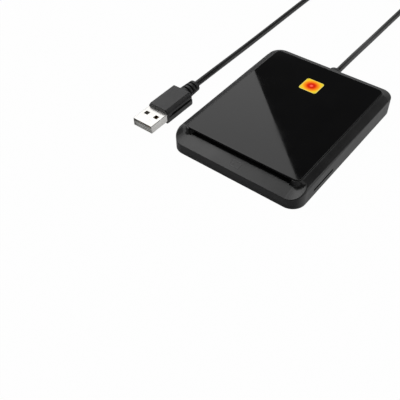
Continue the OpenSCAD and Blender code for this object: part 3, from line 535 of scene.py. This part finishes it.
# Upper case half (mm)
caseSet = {
    "halfWidth": 35.7,
    "halfLength": 46.0,
    "cornerRadius": 7.0,
    "parting": 2.4,
    "rim": 9.6,
    "lipTop": 11.6,
    "seat": 11.0,
    "seatWidth": 1.5,          # how far the roof's skin goes in under the panel
    "seatRound": 0.08,
    "lipHalfWidth": 31.85,     # outer edge of the flat lip round the panel
    "lipFront": -39.7,
    "lipBack": 41.4,
    "lipRadius": 3.1,
    "lip": 0.6,
    "lipRound": 0.22,
    "backLand": 10.0,          # foot of the raised top's back wall
    "backWall": 0.35,          # how far that wall leans out
    "backHollow": 0.3,
    "skirtEnd": 37.0,
    "skirtGap": 0.12,          # the skirt ends within this length
    "endAngles": (2, 12, 90),  # on the lip's back corner: the skirt's end, the side's, the back
    "edgeBack": 0.5,           # edge radius at the back, growing to the front
    "edgeFront": 1.8,
    "edgeFade": 1.3,
    "roundSteps": 6,
    "steps": {"front": 13, "corner": 40, "side": 24, "end": 4, "backCorner": 28},
    "wall": 1.6,
    "hollowLow": 1.0,
    "hollowFront": -37.3,      # behind the ledge
    "hollowRound": 0.5,
    "rimRoof": 8.0,
    "ledgeRoof": 4.3,
    "roof": {"halfWidth": 29.5, "back": 38.6, "low": 7.5, "high": 10.0},
    # card mouth from front to back: y, low, high, left, right, lean of its ends
    "mouth": ((-41.0, 7.8, 12.4, -29.7, 28.3, 1.4), (-39.15, 8.497, 12.4, -29.6, 28.2, 1.4),
              (-39.1, 8.5, 11.05, -29.6, 28.2, 1.4), (-36.2, 8.6, 10.0, -27.3, 27.3, 0.0),
              (-34.0, 8.6, 10.0, -27.3, 27.3, 0.0)),
    "sideSlot": ((34, -32.5, 3.45), (37, -15.5, 4.75)),
    "collarNotch": ((-2.5, 43.5, 1.0), (2.5, 47, 5.2)),
    "pipeHole": {"half": 4.95, "middle": 23.1, "radius": 1.0, "low": 9.5, "high": 12.5},
    # front corner, by the angle from the side (0) to the front (90): height of the outer edge,
    # reach of the raised top's foot beyond its lip, height of that foot, edge and hollow radii
    "angle": (0, 10, 20, 28, 36, 45, 60, 75, 90),
    "corner": {
        "edge": (9.6, 9.15, 8.65, 8.15, 7.65, 7.1, 6.42, 6.03, 5.9),
        "reach": (2.0, 1.9, 1.6, 1.25, 0.95, 0.7, 0.42, 0.2, 0.05),
        "foot": (10.65, 10.2, 9.6, 9.2, 8.9, 8.65, 8.42, 8.31, 8.256),
        "round": (1.8, 1.6, 1.2, 0.8, 0.6, 0.5, 0.42, 0.36, 0.35),
        "hollow": (0.6, 1.6, 2.4, 2.8, 2.9, 2.8, 2.2, 1.3, 0.02),
    },
}


def smoothRead(keys, values, x):
    # smooth curve through a row of values
    i = max(k for k in range(len(keys) - 1) if keys[k] <= x or k == 0)
    span = keys[i + 1] - keys[i]
    t = (x - keys[i]) / span

    def slope(k):
        a, b = max(k - 1, 0), min(k + 1, len(keys) - 1)
        return (values[b] - values[a]) / (keys[b] - keys[a])
    return ((2 * t ** 3 - 3 * t * t + 1) * values[i] + (t ** 3 - 2 * t * t + t) * span * slope(i)
            + (3 * t * t - 2 * t ** 3) * values[i + 1] + (t ** 3 - t * t) * span * slope(i + 1))


def roundedLine(points, radii, steps, most=0.48):
    # polyline in space with its corners rounded by true arcs, over at most this share of a side
    made = [points[0]]
    for here, radius, last, coming in zip(points[1:-1], radii[1:-1], points, points[2:]):
        before, after = last - here, coming - here
        if radius <= 0:
            made.append(here)
            continue
        turn = math.pi - before.angle(after)
        reach = min(radius * math.tan(turn / 2), most * before.length, most * after.length)
        start, end = here + before.normalized() * reach, here + after.normalized() * reach
        weight = math.cos(turn / 2)
        for j in range(steps + 1):
            t = j / steps
            a, b, c = (1 - t) ** 2, 2 * t * (1 - t) * weight, t * t
            made.append((start * a + here * b + end * c) / (a + b + c))
    return made + [points[-1]]


def caseStations(v):
    # right half of the outline from the front's middle to the back's middle:
    # outer point, lip point, outward direction at the lip, and the profile's values there
    r, lr, steps = v["cornerRadius"], v["lipRadius"], v["steps"]
    ox, oy = v["halfWidth"] - r, v["halfLength"] - r
    lx, lf, lb = v["lipHalfWidth"] - lr, v["lipFront"] + lr, v["lipBack"] - lr

    def corner(angle):
        return {k: smoothRead(v["angle"], row, angle) for k, row in v["corner"].items()}
    front, side = corner(90), corner(0)
    back = {"edge": v["rim"], "reach": v["backWall"], "foot": v["backLand"],
            "round": v["edgeBack"], "hollow": v["backHollow"]}
    stations = []
    for k in range(steps["front"]):
        x = k / steps["front"]
        stations.append((Vector((ox * x, -v["halfLength"])), Vector((lx * x, v["lipFront"])),
                         Vector((0, -1)), front))
    for k in range(steps["corner"] + 1):
        angle = 90 - 90 * k / steps["corner"]
        stations.append((arcPoint(ox, -oy, r, -angle), arcPoint(lx, lf, lr, -angle),
                         arcPoint(0, 0, 1, -angle), corner(angle)))
    for k in range(1, steps["side"] + 1):
        t = k / steps["side"]
        values = dict(side)
        fade = min(1, t * v["edgeFade"])
        values["round"] = v["edgeFront"] + (v["edgeBack"] - v["edgeFront"]) * fade
        stations.append((Vector((v["halfWidth"], -oy + (v["skirtEnd"] + oy) * t)),
                         Vector((v["lipHalfWidth"], lf + (lb - lf) * t)), Vector((1, 0)), values))
    end = v["skirtEnd"] + v["skirtGap"]
    first, middle, last = v["endAngles"]
    for k in range(steps["end"] + 1):
        t = k / steps["end"]
        angle = first + (middle - first) * t
        stations.append((Vector((v["halfWidth"], end + (oy - end) * t)),
                         arcPoint(lx, lb, lr, angle), arcPoint(0, 0, 1, angle), back))
    for k in range(1, steps["backCorner"] + 1):
        t = k / steps["backCorner"]
        angle = middle + (last - middle) * t
        stations.append((arcPoint(ox, oy, r, 90 * t), arcPoint(lx, lb, lr, angle),
                         arcPoint(0, 0, 1, angle), back))
    for k in range(1, steps["front"]):
        x = 1 - k / steps["front"]
        stations.append((Vector((ox * x, v["halfLength"])), Vector((lx * x, v["lipBack"])),
                         Vector((0, 1)), back))
    return stations


def caseProfile(v, station):
    # from the parting line up over the edge, the skirt and the lip, and in to the panel's seat
    outer, lip, out, s = station
    foot = lip + out * s["reach"]
    seat = lip - out * v["lip"]
    inside = seat - out * v["seatWidth"]
    line = ((outer, v["parting"], 0), (outer, s["edge"], s["round"]),
            (foot, s["foot"], s["hollow"]), (lip, v["lipTop"], v["lipRound"]),
            (seat, v["lipTop"], v["seatRound"]), (seat, v["seat"], 0), (inside, v["seat"], 0))
    points = [Vector((p.x, p.y, z)) for p, z, radius in line]
    return roundedLine(points, [radius for p, z, radius in line], v["roundSteps"])


def makeUpperCase(v):
    half = [caseProfile(v, s) for s in caseStations(v)]
    mirrored = [[Vector((-p.x, p.y, p.z)) for p in profile] for profile in reversed(half[1:])]
    columns = half + mirrored
    piece = block("upper_case", [[column[k] for column in columns] for k in range(len(half[0]))])
    # hollow under the rim, lower under the ledge, and up to the roof under the panel
    wide, long = v["halfWidth"] - v["wall"], v["halfLength"] - v["wall"]
    low, roof = v["hollowLow"], v["roof"]
    carve(piece, prism(wide, v["hollowFront"], long, v["hollowRound"], low, v["rimRoof"]))
    carve(piece, prism(wide, -long, 0, v["cornerRadius"] - v["wall"], low, v["ledgeRoof"]))
    carve(piece, prism(roof["halfWidth"], v["hollowFront"], roof["back"],
                       v["hollowRound"], roof["low"], roof["high"]))
    # card mouth, wide outside with leaning ends, narrowing to the card's path
    mouth = []
    for y, low, high, left, right, lean in v["mouth"]:
        mouth.append([Vector((left + lean, y, low)), Vector((right - lean, y, low)),
                      Vector((right, y, high)), Vector((left, y, high))])
    carve(piece, block("tool", mouth))
    # side slot, light pipe opening, notch of the cord collar
    carve(piece, box(*v["sideSlot"]))
    hole = v["pipeHole"]
    carve(piece, prism(hole["half"], hole["middle"] - hole["half"],
                       hole["middle"] + hole["half"], hole["radius"], hole["low"], hole["high"]))
    carve(piece, box(*v["collarNotch"]))
    smoothShade(piece)
    return piece


upperCase = makeUpperCase(caseSet)
rideAs(upperCase, "case_plastic", finishes["sparkErodedAbs"], "top_case")
print("upper case made,", len(upperCase.data.polygons), "faces")

# Glossy panel, let into the seat, with its window opening
panelSet = {"halfWidth": 31.2, "front": -39.1, "back": 40.8, "radius": 2.5, "low": 11.0,
            "high": 12.2, "edge": 0.35, "clear": 1.0}
windowSet = {"middle": 23.1, "half": 4.9, "radius": 1.3, "edge": 0.12, "gap": 0.04}


def makePanel(v, w):
    piece = roundedSlab("top_panel_glossy", v["halfWidth"], v["front"], v["back"], v["radius"],
                        v["low"], v["high"], v["edge"])
    half = w["half"] + w["gap"]
    carve(piece, prism(half, w["middle"] - half, w["middle"] + half, w["radius"],
                       v["low"] - v["clear"], v["high"] + v["clear"]))
    smoothShade(piece)
    return piece


panel = makePanel(panelSet, windowSet)
rideAs(panel, "panel_acrylic", finishes["polishedAcrylic"], "top_panel")

# Glow painted on the lens for the lamp's light under it, by the distance from the lamp in mm
glowSet = {
    "stops": ((0.0, "#FF7365"), (0.7, "#FF5545"), (1.1, "#D41C06"), (1.9, "#D62400"),
              (2.5, "#EE5406"), (3.1, "#F77E14"), (3.8, "#FB9F20"), (4.4, "#FFC028"),
              (5.2, "#F0D02A"), (6.0, "#E2D038")),
    "reach": 6.0,
    "ripple": 1.6,             # size of the unevenness in the rings, and how far it moves them
    "wave": 0.25,
    "rim": "#E6DA78",
    "rimBand": (4.5, 4.75),
    "strength": 1.0,
    "lens": {"Base Color": srgb("#1A1205"), "Roughness": 0.12, "IOR": 1.58,
             "Specular IOR Level": 0.25},
}


def makeGlow(v, w):
    # amber polycarbonate lens with a red lamp close under it, whose light is painted as the lens's
    # own glow: a hot middle, then orange and yellow, and a paler rim
    made, tree, place = newMaterial("litPolycarbonate")
    middle = addNode(tree, "ShaderNodeMapping", {"Vector": place, "Location": (0, -w["middle"], 0),
                                                 "Scale": (1 / mm, 1 / mm, 0)})
    parts = addNode(tree, "ShaderNodeSeparateXYZ", {0: middle}).outputs
    away = addNode(tree, "ShaderNodeVectorMath", {0: middle}, operation="LENGTH").outputs["Value"]
    ripple = addNode(tree, "ShaderNodeTexNoise", {"Vector": place, "Scale": 1 / (v["ripple"] * mm),
                                                  "Detail": 2.0}).outputs["Fac"]
    wave = addNode(tree, "ShaderNodeMapRange", {"Value": ripple, "To Min": -v["wave"],
                                                "To Max": v["wave"]})
    uneven = addNode(tree, "ShaderNodeMath", {0: away, 1: wave}, operation="ADD")
    share = addNode(tree, "ShaderNodeMath", {0: uneven, 1: v["reach"]}, operation="DIVIDE")
    rings = addNode(tree, "ShaderNodeValToRGB", {"Fac": share})
    band = rings.color_ramp
    while len(band.elements) > 1:
        band.elements.remove(band.elements[-1])
    for i, (at, colour) in enumerate(v["stops"]):
        stop = band.elements[0] if i == 0 else band.elements.new(at / v["reach"])
        stop.position = at / v["reach"]
        stop.color = srgb(colour)
    x, y = (addNode(tree, "ShaderNodeMath", {0: parts[k]}, operation="ABSOLUTE") for k in "XY")
    far = addNode(tree, "ShaderNodeMath", {0: x, 1: y}, operation="MAXIMUM")
    start, end = v["rimBand"]
    rim = addNode(tree, "ShaderNodeMapRange", {"Value": far, "From Min": start, "From Max": end})
    colour = addNode(tree, "ShaderNodeMix", {0: rim, 6: rings, 7: srgb(v["rim"])},
                     data_type="RGBA").outputs[2]
    shader = addNode(tree, "ShaderNodeBsdfPrincipled",
                     {**v["lens"], "Emission Color": colour, "Emission Strength": v["strength"]})
    addNode(tree, "ShaderNodeOutputMaterial", {"Surface": shader})
    return made


window = roundedSlab("indicator_lens", windowSet["half"], windowSet["middle"] - windowSet["half"],
                     windowSet["middle"] + windowSet["half"], windowSet["radius"],
                     panelSet["low"], panelSet["high"], windowSet["edge"])
smoothShade(window)
rideAs(window, "window_amber", makeGlow(glowSet, windowSet), "indicator_window")
print("panel and window made")

# Raised outline of a card with its chip, moulded on the ledge to show which way a card goes in
signSet = {"x": 0.0, "y": -42.3, "width": 5.6, "height": 3.4, "radius": 0.6, "line": 0.4,
           "proud": 0.09, "sunk": 0.12, "chip": (-1.25, 0.0), "chipHalf": 0.45, "chipRadius": 0.1,
           "innerRound": 0.9, "steps": 5}


def makeSign(v, c):
    # the ledge rises from the front edge to the foot of the raised top
    edge, reach, foot = (c["corner"][k][-1] for k in ("edge", "reach", "foot"))
    slope = math.atan2(foot - edge, c["halfLength"] + c["lipFront"] - reach)
    height = edge + (v["y"] + c["halfLength"]) * math.tan(slope)
    turn = Matrix.Translation((v["x"], v["y"], height)) @ Matrix.Rotation(slope, 4, "X")

    def loop(x, y, halfWidth, halfHeight, radius, z):
        flat = outline(halfWidth, -halfHeight, halfHeight, radius, z, v["steps"])
        return [turn @ (p + Vector((x, y, 0))) for p in flat]
    w, h, r, line = v["width"] / 2, v["height"] / 2, v["radius"], v["line"]
    rings = [loop(0, 0, w - k, h - k, r - k * v["innerRound"], z) for k, z in
             ((0, -v["sunk"]), (0, v["proud"]), (line, v["proud"]), (line, -v["sunk"]),
              (0, -v["sunk"]))]
    piece = block("card_sign", rings, caps=False)
    cleanMesh(piece.data, weld=True)
    chip = block("chip", [loop(*v["chip"], v["chipHalf"], v["chipHalf"], v["chipRadius"], z)
                          for z in (-v["sunk"], v["proud"])])
    joinMeshes(piece, chip)
    return piece


sign = makeSign(signSet, caseSet)
rideAs(sign, "case_plastic", finishes["sparkErodedAbs"])

# Plug: moulded grip with a groove along each side and a tail that slots make bendy (mm)
gripSet = {
    "x": -54.7,
    "z": 4.0,
    "halfWidth": 6.5,
    "height": 8,
    "front": -32.8,
    "back": -13.3,             # back edge of the top; the back wall leans out below it
    "backLean": 1.2,
    "leanStart": 0.6,          # share of that lean where the back edge's rounding starts
    # half of the section, from the middle of the underside up to the middle of the top, and its
    # corner radii; the groove's two inner corners are put in place of None
    "section": ((0, 0), (5.7, 0), (6.35, 0.8), (6.5, 3.65), None, None, (6.46, 5.0), (6.28, 6.4),
                (5.15, 8.4), (0, 8.4)),
    "round": (0, 0.5, 0.6, 0.12, 0.05, 0.05, 0.12, 1.5, 0.4, 0),
    "groove": (3.7, 4.95),
    # depth of the side groove along the grip, shallow where the metal shell is inside
    "depth": ((-32.8, 0.02), (-32.0, 0.02), (-31.7, 0.4), (-29.5, 0.4), (-29.3, 2.6), (0, 2.6)),
    "rings": (-32.0, -31.7, -29.5, -29.3, -26, -22, -18),
    "frontRound": 0.45,
    "frontSteps": 4,
    "backRound": 1.1,
    "backSteps": 5,
    "pocket": (6.04, 2.29, 3.1),  # half width, half height and depth of the shell's seat
    "tailGap": 0.2,
    "roundSteps": 3,
    "smooth": 35,              # degrees
}
tailSet = {
    "sizes": {"Length": 9.7, "Width": 7.9, "Height": 6.9, "End Share": 0.86, "Slots": 3,
              "First": 2.2, "Pitch": 2.6, "Slot Width": 1.2, "Rail": 0.5, "Rail Groove": 0.4},
    "sides": 48,
    "rows": 16,
    "slotCut": 1.2,            # widths of the cutters, as shares of the tail's
    "grooveCut": 0.14,
    "grooveMiddle": 0.56,      # share of the length
}


def gripSection(v, y, inset, lean):
    depth = v["depth"]
    i = max(k for k in range(len(depth) - 1) if depth[k][0] <= y)
    (y0, d0), (y1, d1) = depth[i], depth[i + 1]
    deep = v["halfWidth"] - (d0 + (d1 - d0) * (y - y0) / (y1 - y0))
    flat = list(v["section"])
    flat[4:6] = [(deep, z) for z in v["groove"]]
    points = []
    for x, z in flat:
        kx = 1 - inset / v["halfWidth"]
        zz = v["z"] + (z - v["z"]) * (1 - inset / v["z"])
        points.append(Vector((x * kx, y + lean * (v["height"] - z) / v["height"], zz)))
    half = roundedLine(points, v["round"], v["roundSteps"])
    ring = half + [Vector((-p.x, p.y, p.z)) for p in reversed(half[1:-1])]
    return [p + Vector((v["x"], 0, 0)) for p in ring]


def startTree(name, values):
    # empty tree whose inputs carry the sizes by name
    tree = bpy.data.node_groups.new(name, "GeometryNodeTree")
    keys = {}
    for key, value in values.items():
        kind = "NodeSocketInt" if isinstance(value, int) else "NodeSocketFloat"
        item = tree.interface.new_socket(key, in_out="INPUT", socket_type=kind)
        item.default_value = value
        keys[key] = item.identifier
    item = tree.interface.new_socket("Finish", in_out="INPUT", socket_type="NodeSocketMaterial")
    keys["Finish"] = item.identifier
    tree.interface.new_socket("Geometry", in_out="OUTPUT", socket_type="NodeSocketGeometry")
    return tree, tree.nodes.new("NodeGroupInput").outputs, keys


def endTree(tree, geometry, inputs):
    real = addNode(tree, "GeometryNodeRealizeInstances", {0: geometry})
    dressed = addNode(tree, "GeometryNodeSetMaterial", {"Geometry": real,
                                                        "Material": inputs["Finish"]})
    addNode(tree, "NodeGroupOutput", {0: dressed})


def runTree(name, tree, keys, values, dress):
    # plain mesh from the tree at these values
    piece = newPiece(name, bpy.data.meshes.new(name))
    step = piece.modifiers.new("nodes", "NODES")
    step.node_group = tree
    for key, value in values.items():
        step[keys[key]] = value
    step[keys["Finish"]] = dress
    applyModifiers(piece)
    return piece


def makeTail(v, dress):
    # oval that narrows along Y; slots stand in a row from the top and from below, with a thin
    # groove that joins their ends along each side
    sizes = {k: (x if isinstance(x, int) or k == "End Share" else x * mm)
             for k, x in v["sizes"].items()}
    tree, inputs, keys = startTree("slottedTail", sizes)
    can = addNode(tree, "GeometryNodeMeshCylinder", {"Vertices": v["sides"], "Radius": 0.5,
                                                     "Side Segments": v["rows"], "Depth": 1.0})
    place = addNode(tree, "ShaderNodeSeparateXYZ",
                    {0: addNode(tree, "GeometryNodeInputPosition")}).outputs
    along = addNode(tree, "ShaderNodeMath", {0: place["Z"], 1: 0.5}, operation="ADD")
    taper = addNode(tree, "ShaderNodeMapRange", {"Value": along, "To Min": 1.0,
                                                 "To Max": inputs["End Share"]})
    part = {"x": place["X"], "y": place["Y"], "along": along, "taper": taper}
    part.update((k, inputs[k]) for k in sizes)
    # each new part is an earlier one times another or times a number
    for name, first, second in (("fullX", "x", "Width"), ("ovalX", "fullX", "taper"),
                                ("ovalY", "along", "Length"), ("fullZ", "y", "Height"),
                                ("upperZ", "fullZ", "taper"), ("ovalZ", "upperZ", -1.0),
                                ("tall", "Height", 0.5), ("halfTall", "tall", 0.5),
                                ("slotCut", "Width", v["slotCut"]),
                                ("grooveCut", "Width", v["grooveCut"]),
                                ("grooveMiddle", "Length", v["grooveMiddle"]),
                                ("right", "Width", 0.5), ("left", "Width", -0.5),
                                ("railBelow", "Rail", -1.0)):
        part[name] = addNode(tree, "ShaderNodeMath", {0: part[first], 1: part.get(second, second)},
                             operation="MULTIPLY")
    oval = addNode(tree, "ShaderNodeCombineXYZ", {0: part["ovalX"], 1: part["ovalY"],
                                                  2: part["ovalZ"]})
    body = addNode(tree, "GeometryNodeSetPosition", {"Geometry": can, "Position": oval})
    bars = []
    for x, y, z in (("slotCut", "Slot Width", "tall"), ("grooveCut", "Length", "Rail Groove")):
        size = addNode(tree, "ShaderNodeCombineXYZ", {0: part[x], 1: part[y], 2: part[z]})
        bars.append(addNode(tree, "GeometryNodeMeshCube", {"Size": size}))
    slotBar, grooveBar = bars
    above = addNode(tree, "ShaderNodeMath", {0: inputs["Rail"], 1: part["halfTall"]},
                    operation="ADD")
    below = addNode(tree, "ShaderNodeMath", {0: above, 1: -1.0}, operation="MULTIPLY")
    step = addNode(tree, "ShaderNodeCombineXYZ", {1: inputs["Pitch"]})
    tools = []
    for z in (above, below):
        start = addNode(tree, "ShaderNodeCombineXYZ", {1: inputs["First"], 2: z})
        row = addNode(tree, "GeometryNodeMeshLine", {"Count": inputs["Slots"], "Offset": step,
                                                     "Start Location": start})
        tools.append(addNode(tree, "GeometryNodeInstanceOnPoints", {"Points": row,
                                                                    "Instance": slotBar}))
    for x in ("right", "left"):
        for z in ("Rail", "railBelow"):
            spot = addNode(tree, "ShaderNodeCombineXYZ", {0: part[x], 1: part["grooveMiddle"],
                                                          2: part[z]})
            tools.append(addNode(tree, "GeometryNodeTransform", {"Geometry": grooveBar,
                                                                 "Translation": spot}))
    joined = addNode(tree, "GeometryNodeJoinGeometry", {0: tools})
    solid = addNode(tree, "GeometryNodeRealizeInstances", {0: joined})
    cut = addNode(tree, "GeometryNodeMeshBoolean", {0: body, 1: solid, "Self Intersection": True},
                  operation="DIFFERENCE", solver="EXACT")
    endTree(tree, cut, inputs)
    return runTree("tail", tree, keys, sizes, dress)


def makeGrip(v, tail):
    rings = []
    for k in range(v["frontSteps"] + 1):
        turn = math.pi / 2 * k / v["frontSteps"]
        rings.append(gripSection(v, v["front"] + v["frontRound"] * (1 - math.cos(turn)),
                                 v["frontRound"] * (1 - math.sin(turn)), 0))
    for y in v["rings"]:
        rings.append(gripSection(v, y, 0, 0))
    start, first = v["back"] - v["backRound"], v["leanStart"]
    rings.append(gripSection(v, start, 0, v["backLean"] * first))
    for k in range(1, v["backSteps"] + 1):
        share = k / v["backSteps"]
        turn = math.pi / 2 * share
        rings.append(gripSection(v, start + v["backRound"] * math.sin(turn),
                                 v["backRound"] * (1 - math.cos(turn)),
                                 v["backLean"] * (first + (1 - first) * share)))
    piece = block("plug_moulding", rings)
    halfWidth, halfHeight, deep = v["pocket"]
    carve(piece, box((v["x"] - halfWidth, v["front"] - 1, v["z"] - halfHeight),
                     (v["x"] + halfWidth, v["front"] + deep, v["z"] + halfHeight)))
    place = Vector((v["x"], v["back"] + v["tailGap"], v["z"]))
    tail.data.transform(Matrix.Translation(place * mm))
    carve(piece, tail, "UNION")
    smoothShade(piece, v["smooth"])
    return piece


grip = makeGrip(gripSet, makeTail(tailSet, finishes["overmouldedPvc"]))
rideAs(grip, "plug_moulding", finishes["overmouldedPvc"], "plug_grip")
print("plug made,", len(grip.data.polygons), "faces")

# Case screws: crosshead, driven from below (mm)
screwSet = {
    "sizes": {"Head": 3.8, "Head Height": 1.3, "Shank": 2.0, "Shank Length": 6.4, "Recess": 2.3,
              "Recess Width": 0.55, "Recess Depth": 0.95},
    "coneFoot": 0.44,          # radius at the cone's foot, as a share of the head's width
    "coneHeight": 0.3,         # shares of the head's height
    "coneMiddle": 0.15,
    "drumHeight": 0.7,
    "drumMiddle": 0.65,
    "headSides": 32,
    "shankSides": 24,
}


def makeScrews(v, dress):
    low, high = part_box("case_screws")
    sizes = {k: x * mm for k, x in v["sizes"].items()}
    sizes["Spread X"] = high[0] - low[0] - sizes["Head"]
    sizes["Spread Y"] = high[1] - low[1] - sizes["Head"]
    tree, inputs, keys = startTree("screwRow", sizes)
    part = {}
    for name, size, share in (("coneFoot", "Head", v["coneFoot"]), ("headRadius", "Head", 0.5),
                              ("coneHeight", "Head Height", v["coneHeight"]),
                              ("drumHeight", "Head Height", v["drumHeight"]),
                              ("drumMiddle", "Head Height", v["drumMiddle"]),
                              ("shankRadius", "Shank", 0.5), ("shankMiddle", "Shank Length", 0.5),
                              ("crossDepth", "Recess Depth", 2.0)):
        part[name] = addNode(tree, "ShaderNodeMath", {0: inputs[size], 1: share},
                             operation="MULTIPLY")
    solids = [addNode(tree, "GeometryNodeMeshCone",
                      {"Vertices": v["headSides"], "Radius Bottom": part["coneFoot"],
                       "Radius Top": part["headRadius"], "Depth": part["coneHeight"]})]
    for sides, radius, depth, middle in (
            (v["headSides"], part["headRadius"], part["drumHeight"], part["drumMiddle"]),
            (v["shankSides"], part["shankRadius"], inputs["Shank Length"], part["shankMiddle"])):
        rod = addNode(tree, "GeometryNodeMeshCylinder", {"Vertices": sides, "Radius": radius,
                                                         "Depth": depth})
        lift = addNode(tree, "ShaderNodeCombineXYZ", {2: middle})
        solids.append(addNode(tree, "GeometryNodeTransform", {"Geometry": rod,
                                                              "Translation": lift}))
    body = addNode(tree, "GeometryNodeMeshBoolean", {1: solids}, operation="UNION", solver="EXACT")
    arms = []
    for x, y in (("Recess", "Recess Width"), ("Recess Width", "Recess")):
        size = addNode(tree, "ShaderNodeCombineXYZ", {0: inputs[x], 1: inputs[y],
                                                      2: part["crossDepth"]})
        arms.append(addNode(tree, "GeometryNodeMeshCube", {"Size": size}))
    screw = addNode(tree, "GeometryNodeMeshBoolean", {0: body, 1: arms}, operation="DIFFERENCE",
                    solver="EXACT")
    spots = addNode(tree, "GeometryNodeMeshGrid",
                    {"Size X": inputs["Spread X"], "Size Y": inputs["Spread Y"],
                     "Vertices X": 2, "Vertices Y": 2})
    row = addNode(tree, "GeometryNodeInstanceOnPoints", {"Points": spots, "Instance": screw})
    endTree(tree, row, inputs)
    piece = runTree("case_screw_set", tree, keys, sizes, dress)
    head = low[2] + sizes["Head Height"] * v["coneMiddle"]
    piece.data.transform(Matrix.Translation((0, 0, head)))
    smoothShade(piece)
    return piece


screws = makeScrews(screwSet, finishes["zincPlate"])
rideAs(screws, "screw_steel", finishes["zincPlate"], "case_screws")
print("screws made")

# Circuit board: traces every pitch mm, each some pitches long, and the resist's gloss
boardSet = {"mask": "#17502F", "trace": "#23683F", "gap": "#113F26", "pitch": 1.27, "line": 0.12,
            "traceLength": 6, "flow": 3, "rough": (0.18, 0.34), "depth": 0.02, "ior": 1.52}


def makeBoardFinish(v):
    # glass epoxy under green solder resist: traces show through it as paler lines, and it is glossy
    made, tree, place = newMaterial("solderResist")
    traces = addNode(tree, "ShaderNodeTexBrick",
                     {"Vector": place, "Scale": 1 / mm, "Color1": srgb(v["mask"]),
                      "Color2": srgb(v["gap"]), "Mortar": srgb(v["trace"]),
                      "Mortar Size": v["line"], "Brick Width": v["pitch"] * v["traceLength"],
                      "Row Height": v["pitch"]}).outputs
    flow = addNode(tree, "ShaderNodeTexNoise", {"Vector": place, "Scale": 1 / (v["flow"] * mm),
                                                "Detail": 2.0}).outputs["Fac"]
    low, high = v["rough"]
    rough = addNode(tree, "ShaderNodeMapRange", {"Value": flow, "To Min": low, "To Max": high})
    bump = addNode(tree, "ShaderNodeBump", {"Height": traces["Fac"], "Distance": v["depth"] * mm,
                                            "Strength": 1.0})
    shader = addNode(tree, "ShaderNodeBsdfPrincipled",
                     {"Base Color": traces["Color"], "IOR": v["ior"], "Roughness": rough,
                      "Normal": bump})
    addNode(tree, "ShaderNodeOutputMaterial", {"Surface": shader})
    return made


# CAD nodes that stay as they are, with their finishes
finishes["solderResist"] = makeBoardFinish(boardSet)
nodeFinish = {
    "sparkErodedAbs": ["bottom_case"],
    "overmouldedPvc": ["cord_gland"],
    "nickelPlate": ["plug_shell"],
    "goldPlate": ["contact_tails", "plug_pins"]
                 + ["card_contact_%d" % i for i in range(1, 9)]
                 + ["small_contact_%d" % i for i in range(1, 7)],
    "tinnedSheet": ["small_card_cover", "crystal"],
    "mouldedLcp": ["card_connector", "small_card_base", "cord_header", "cord_housing"],
    "mouldedEpoxy": ["card_switch", "controller_chip", "chip_resistors"],
    "mouldedAcetal": ["switch_plunger"],
    "mouldedNylon": ["plug_tongue"],
    "milkyPolycarbonate": ["light_pipe"],
    "lampCeramic": ["indicator_led"],
    "wirePvc": ["signal_wires"],
    "pressedRubber": ["foot_front_left", "foot_front_right", "foot_back_left", "foot_back_right"],
    "solderResist": ["circuit_board"],
}
for name, nodes in nodeFinish.items():
    for node in nodes:
        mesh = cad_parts[node].data
        mesh.materials.clear()
        mesh.materials.append(finishes[name])
cord.data.materials.append(finishes["extrudedPvc"])
print("finishes put on", sum(len(nodes) for nodes in nodeFinish.values()), "CAD nodes")
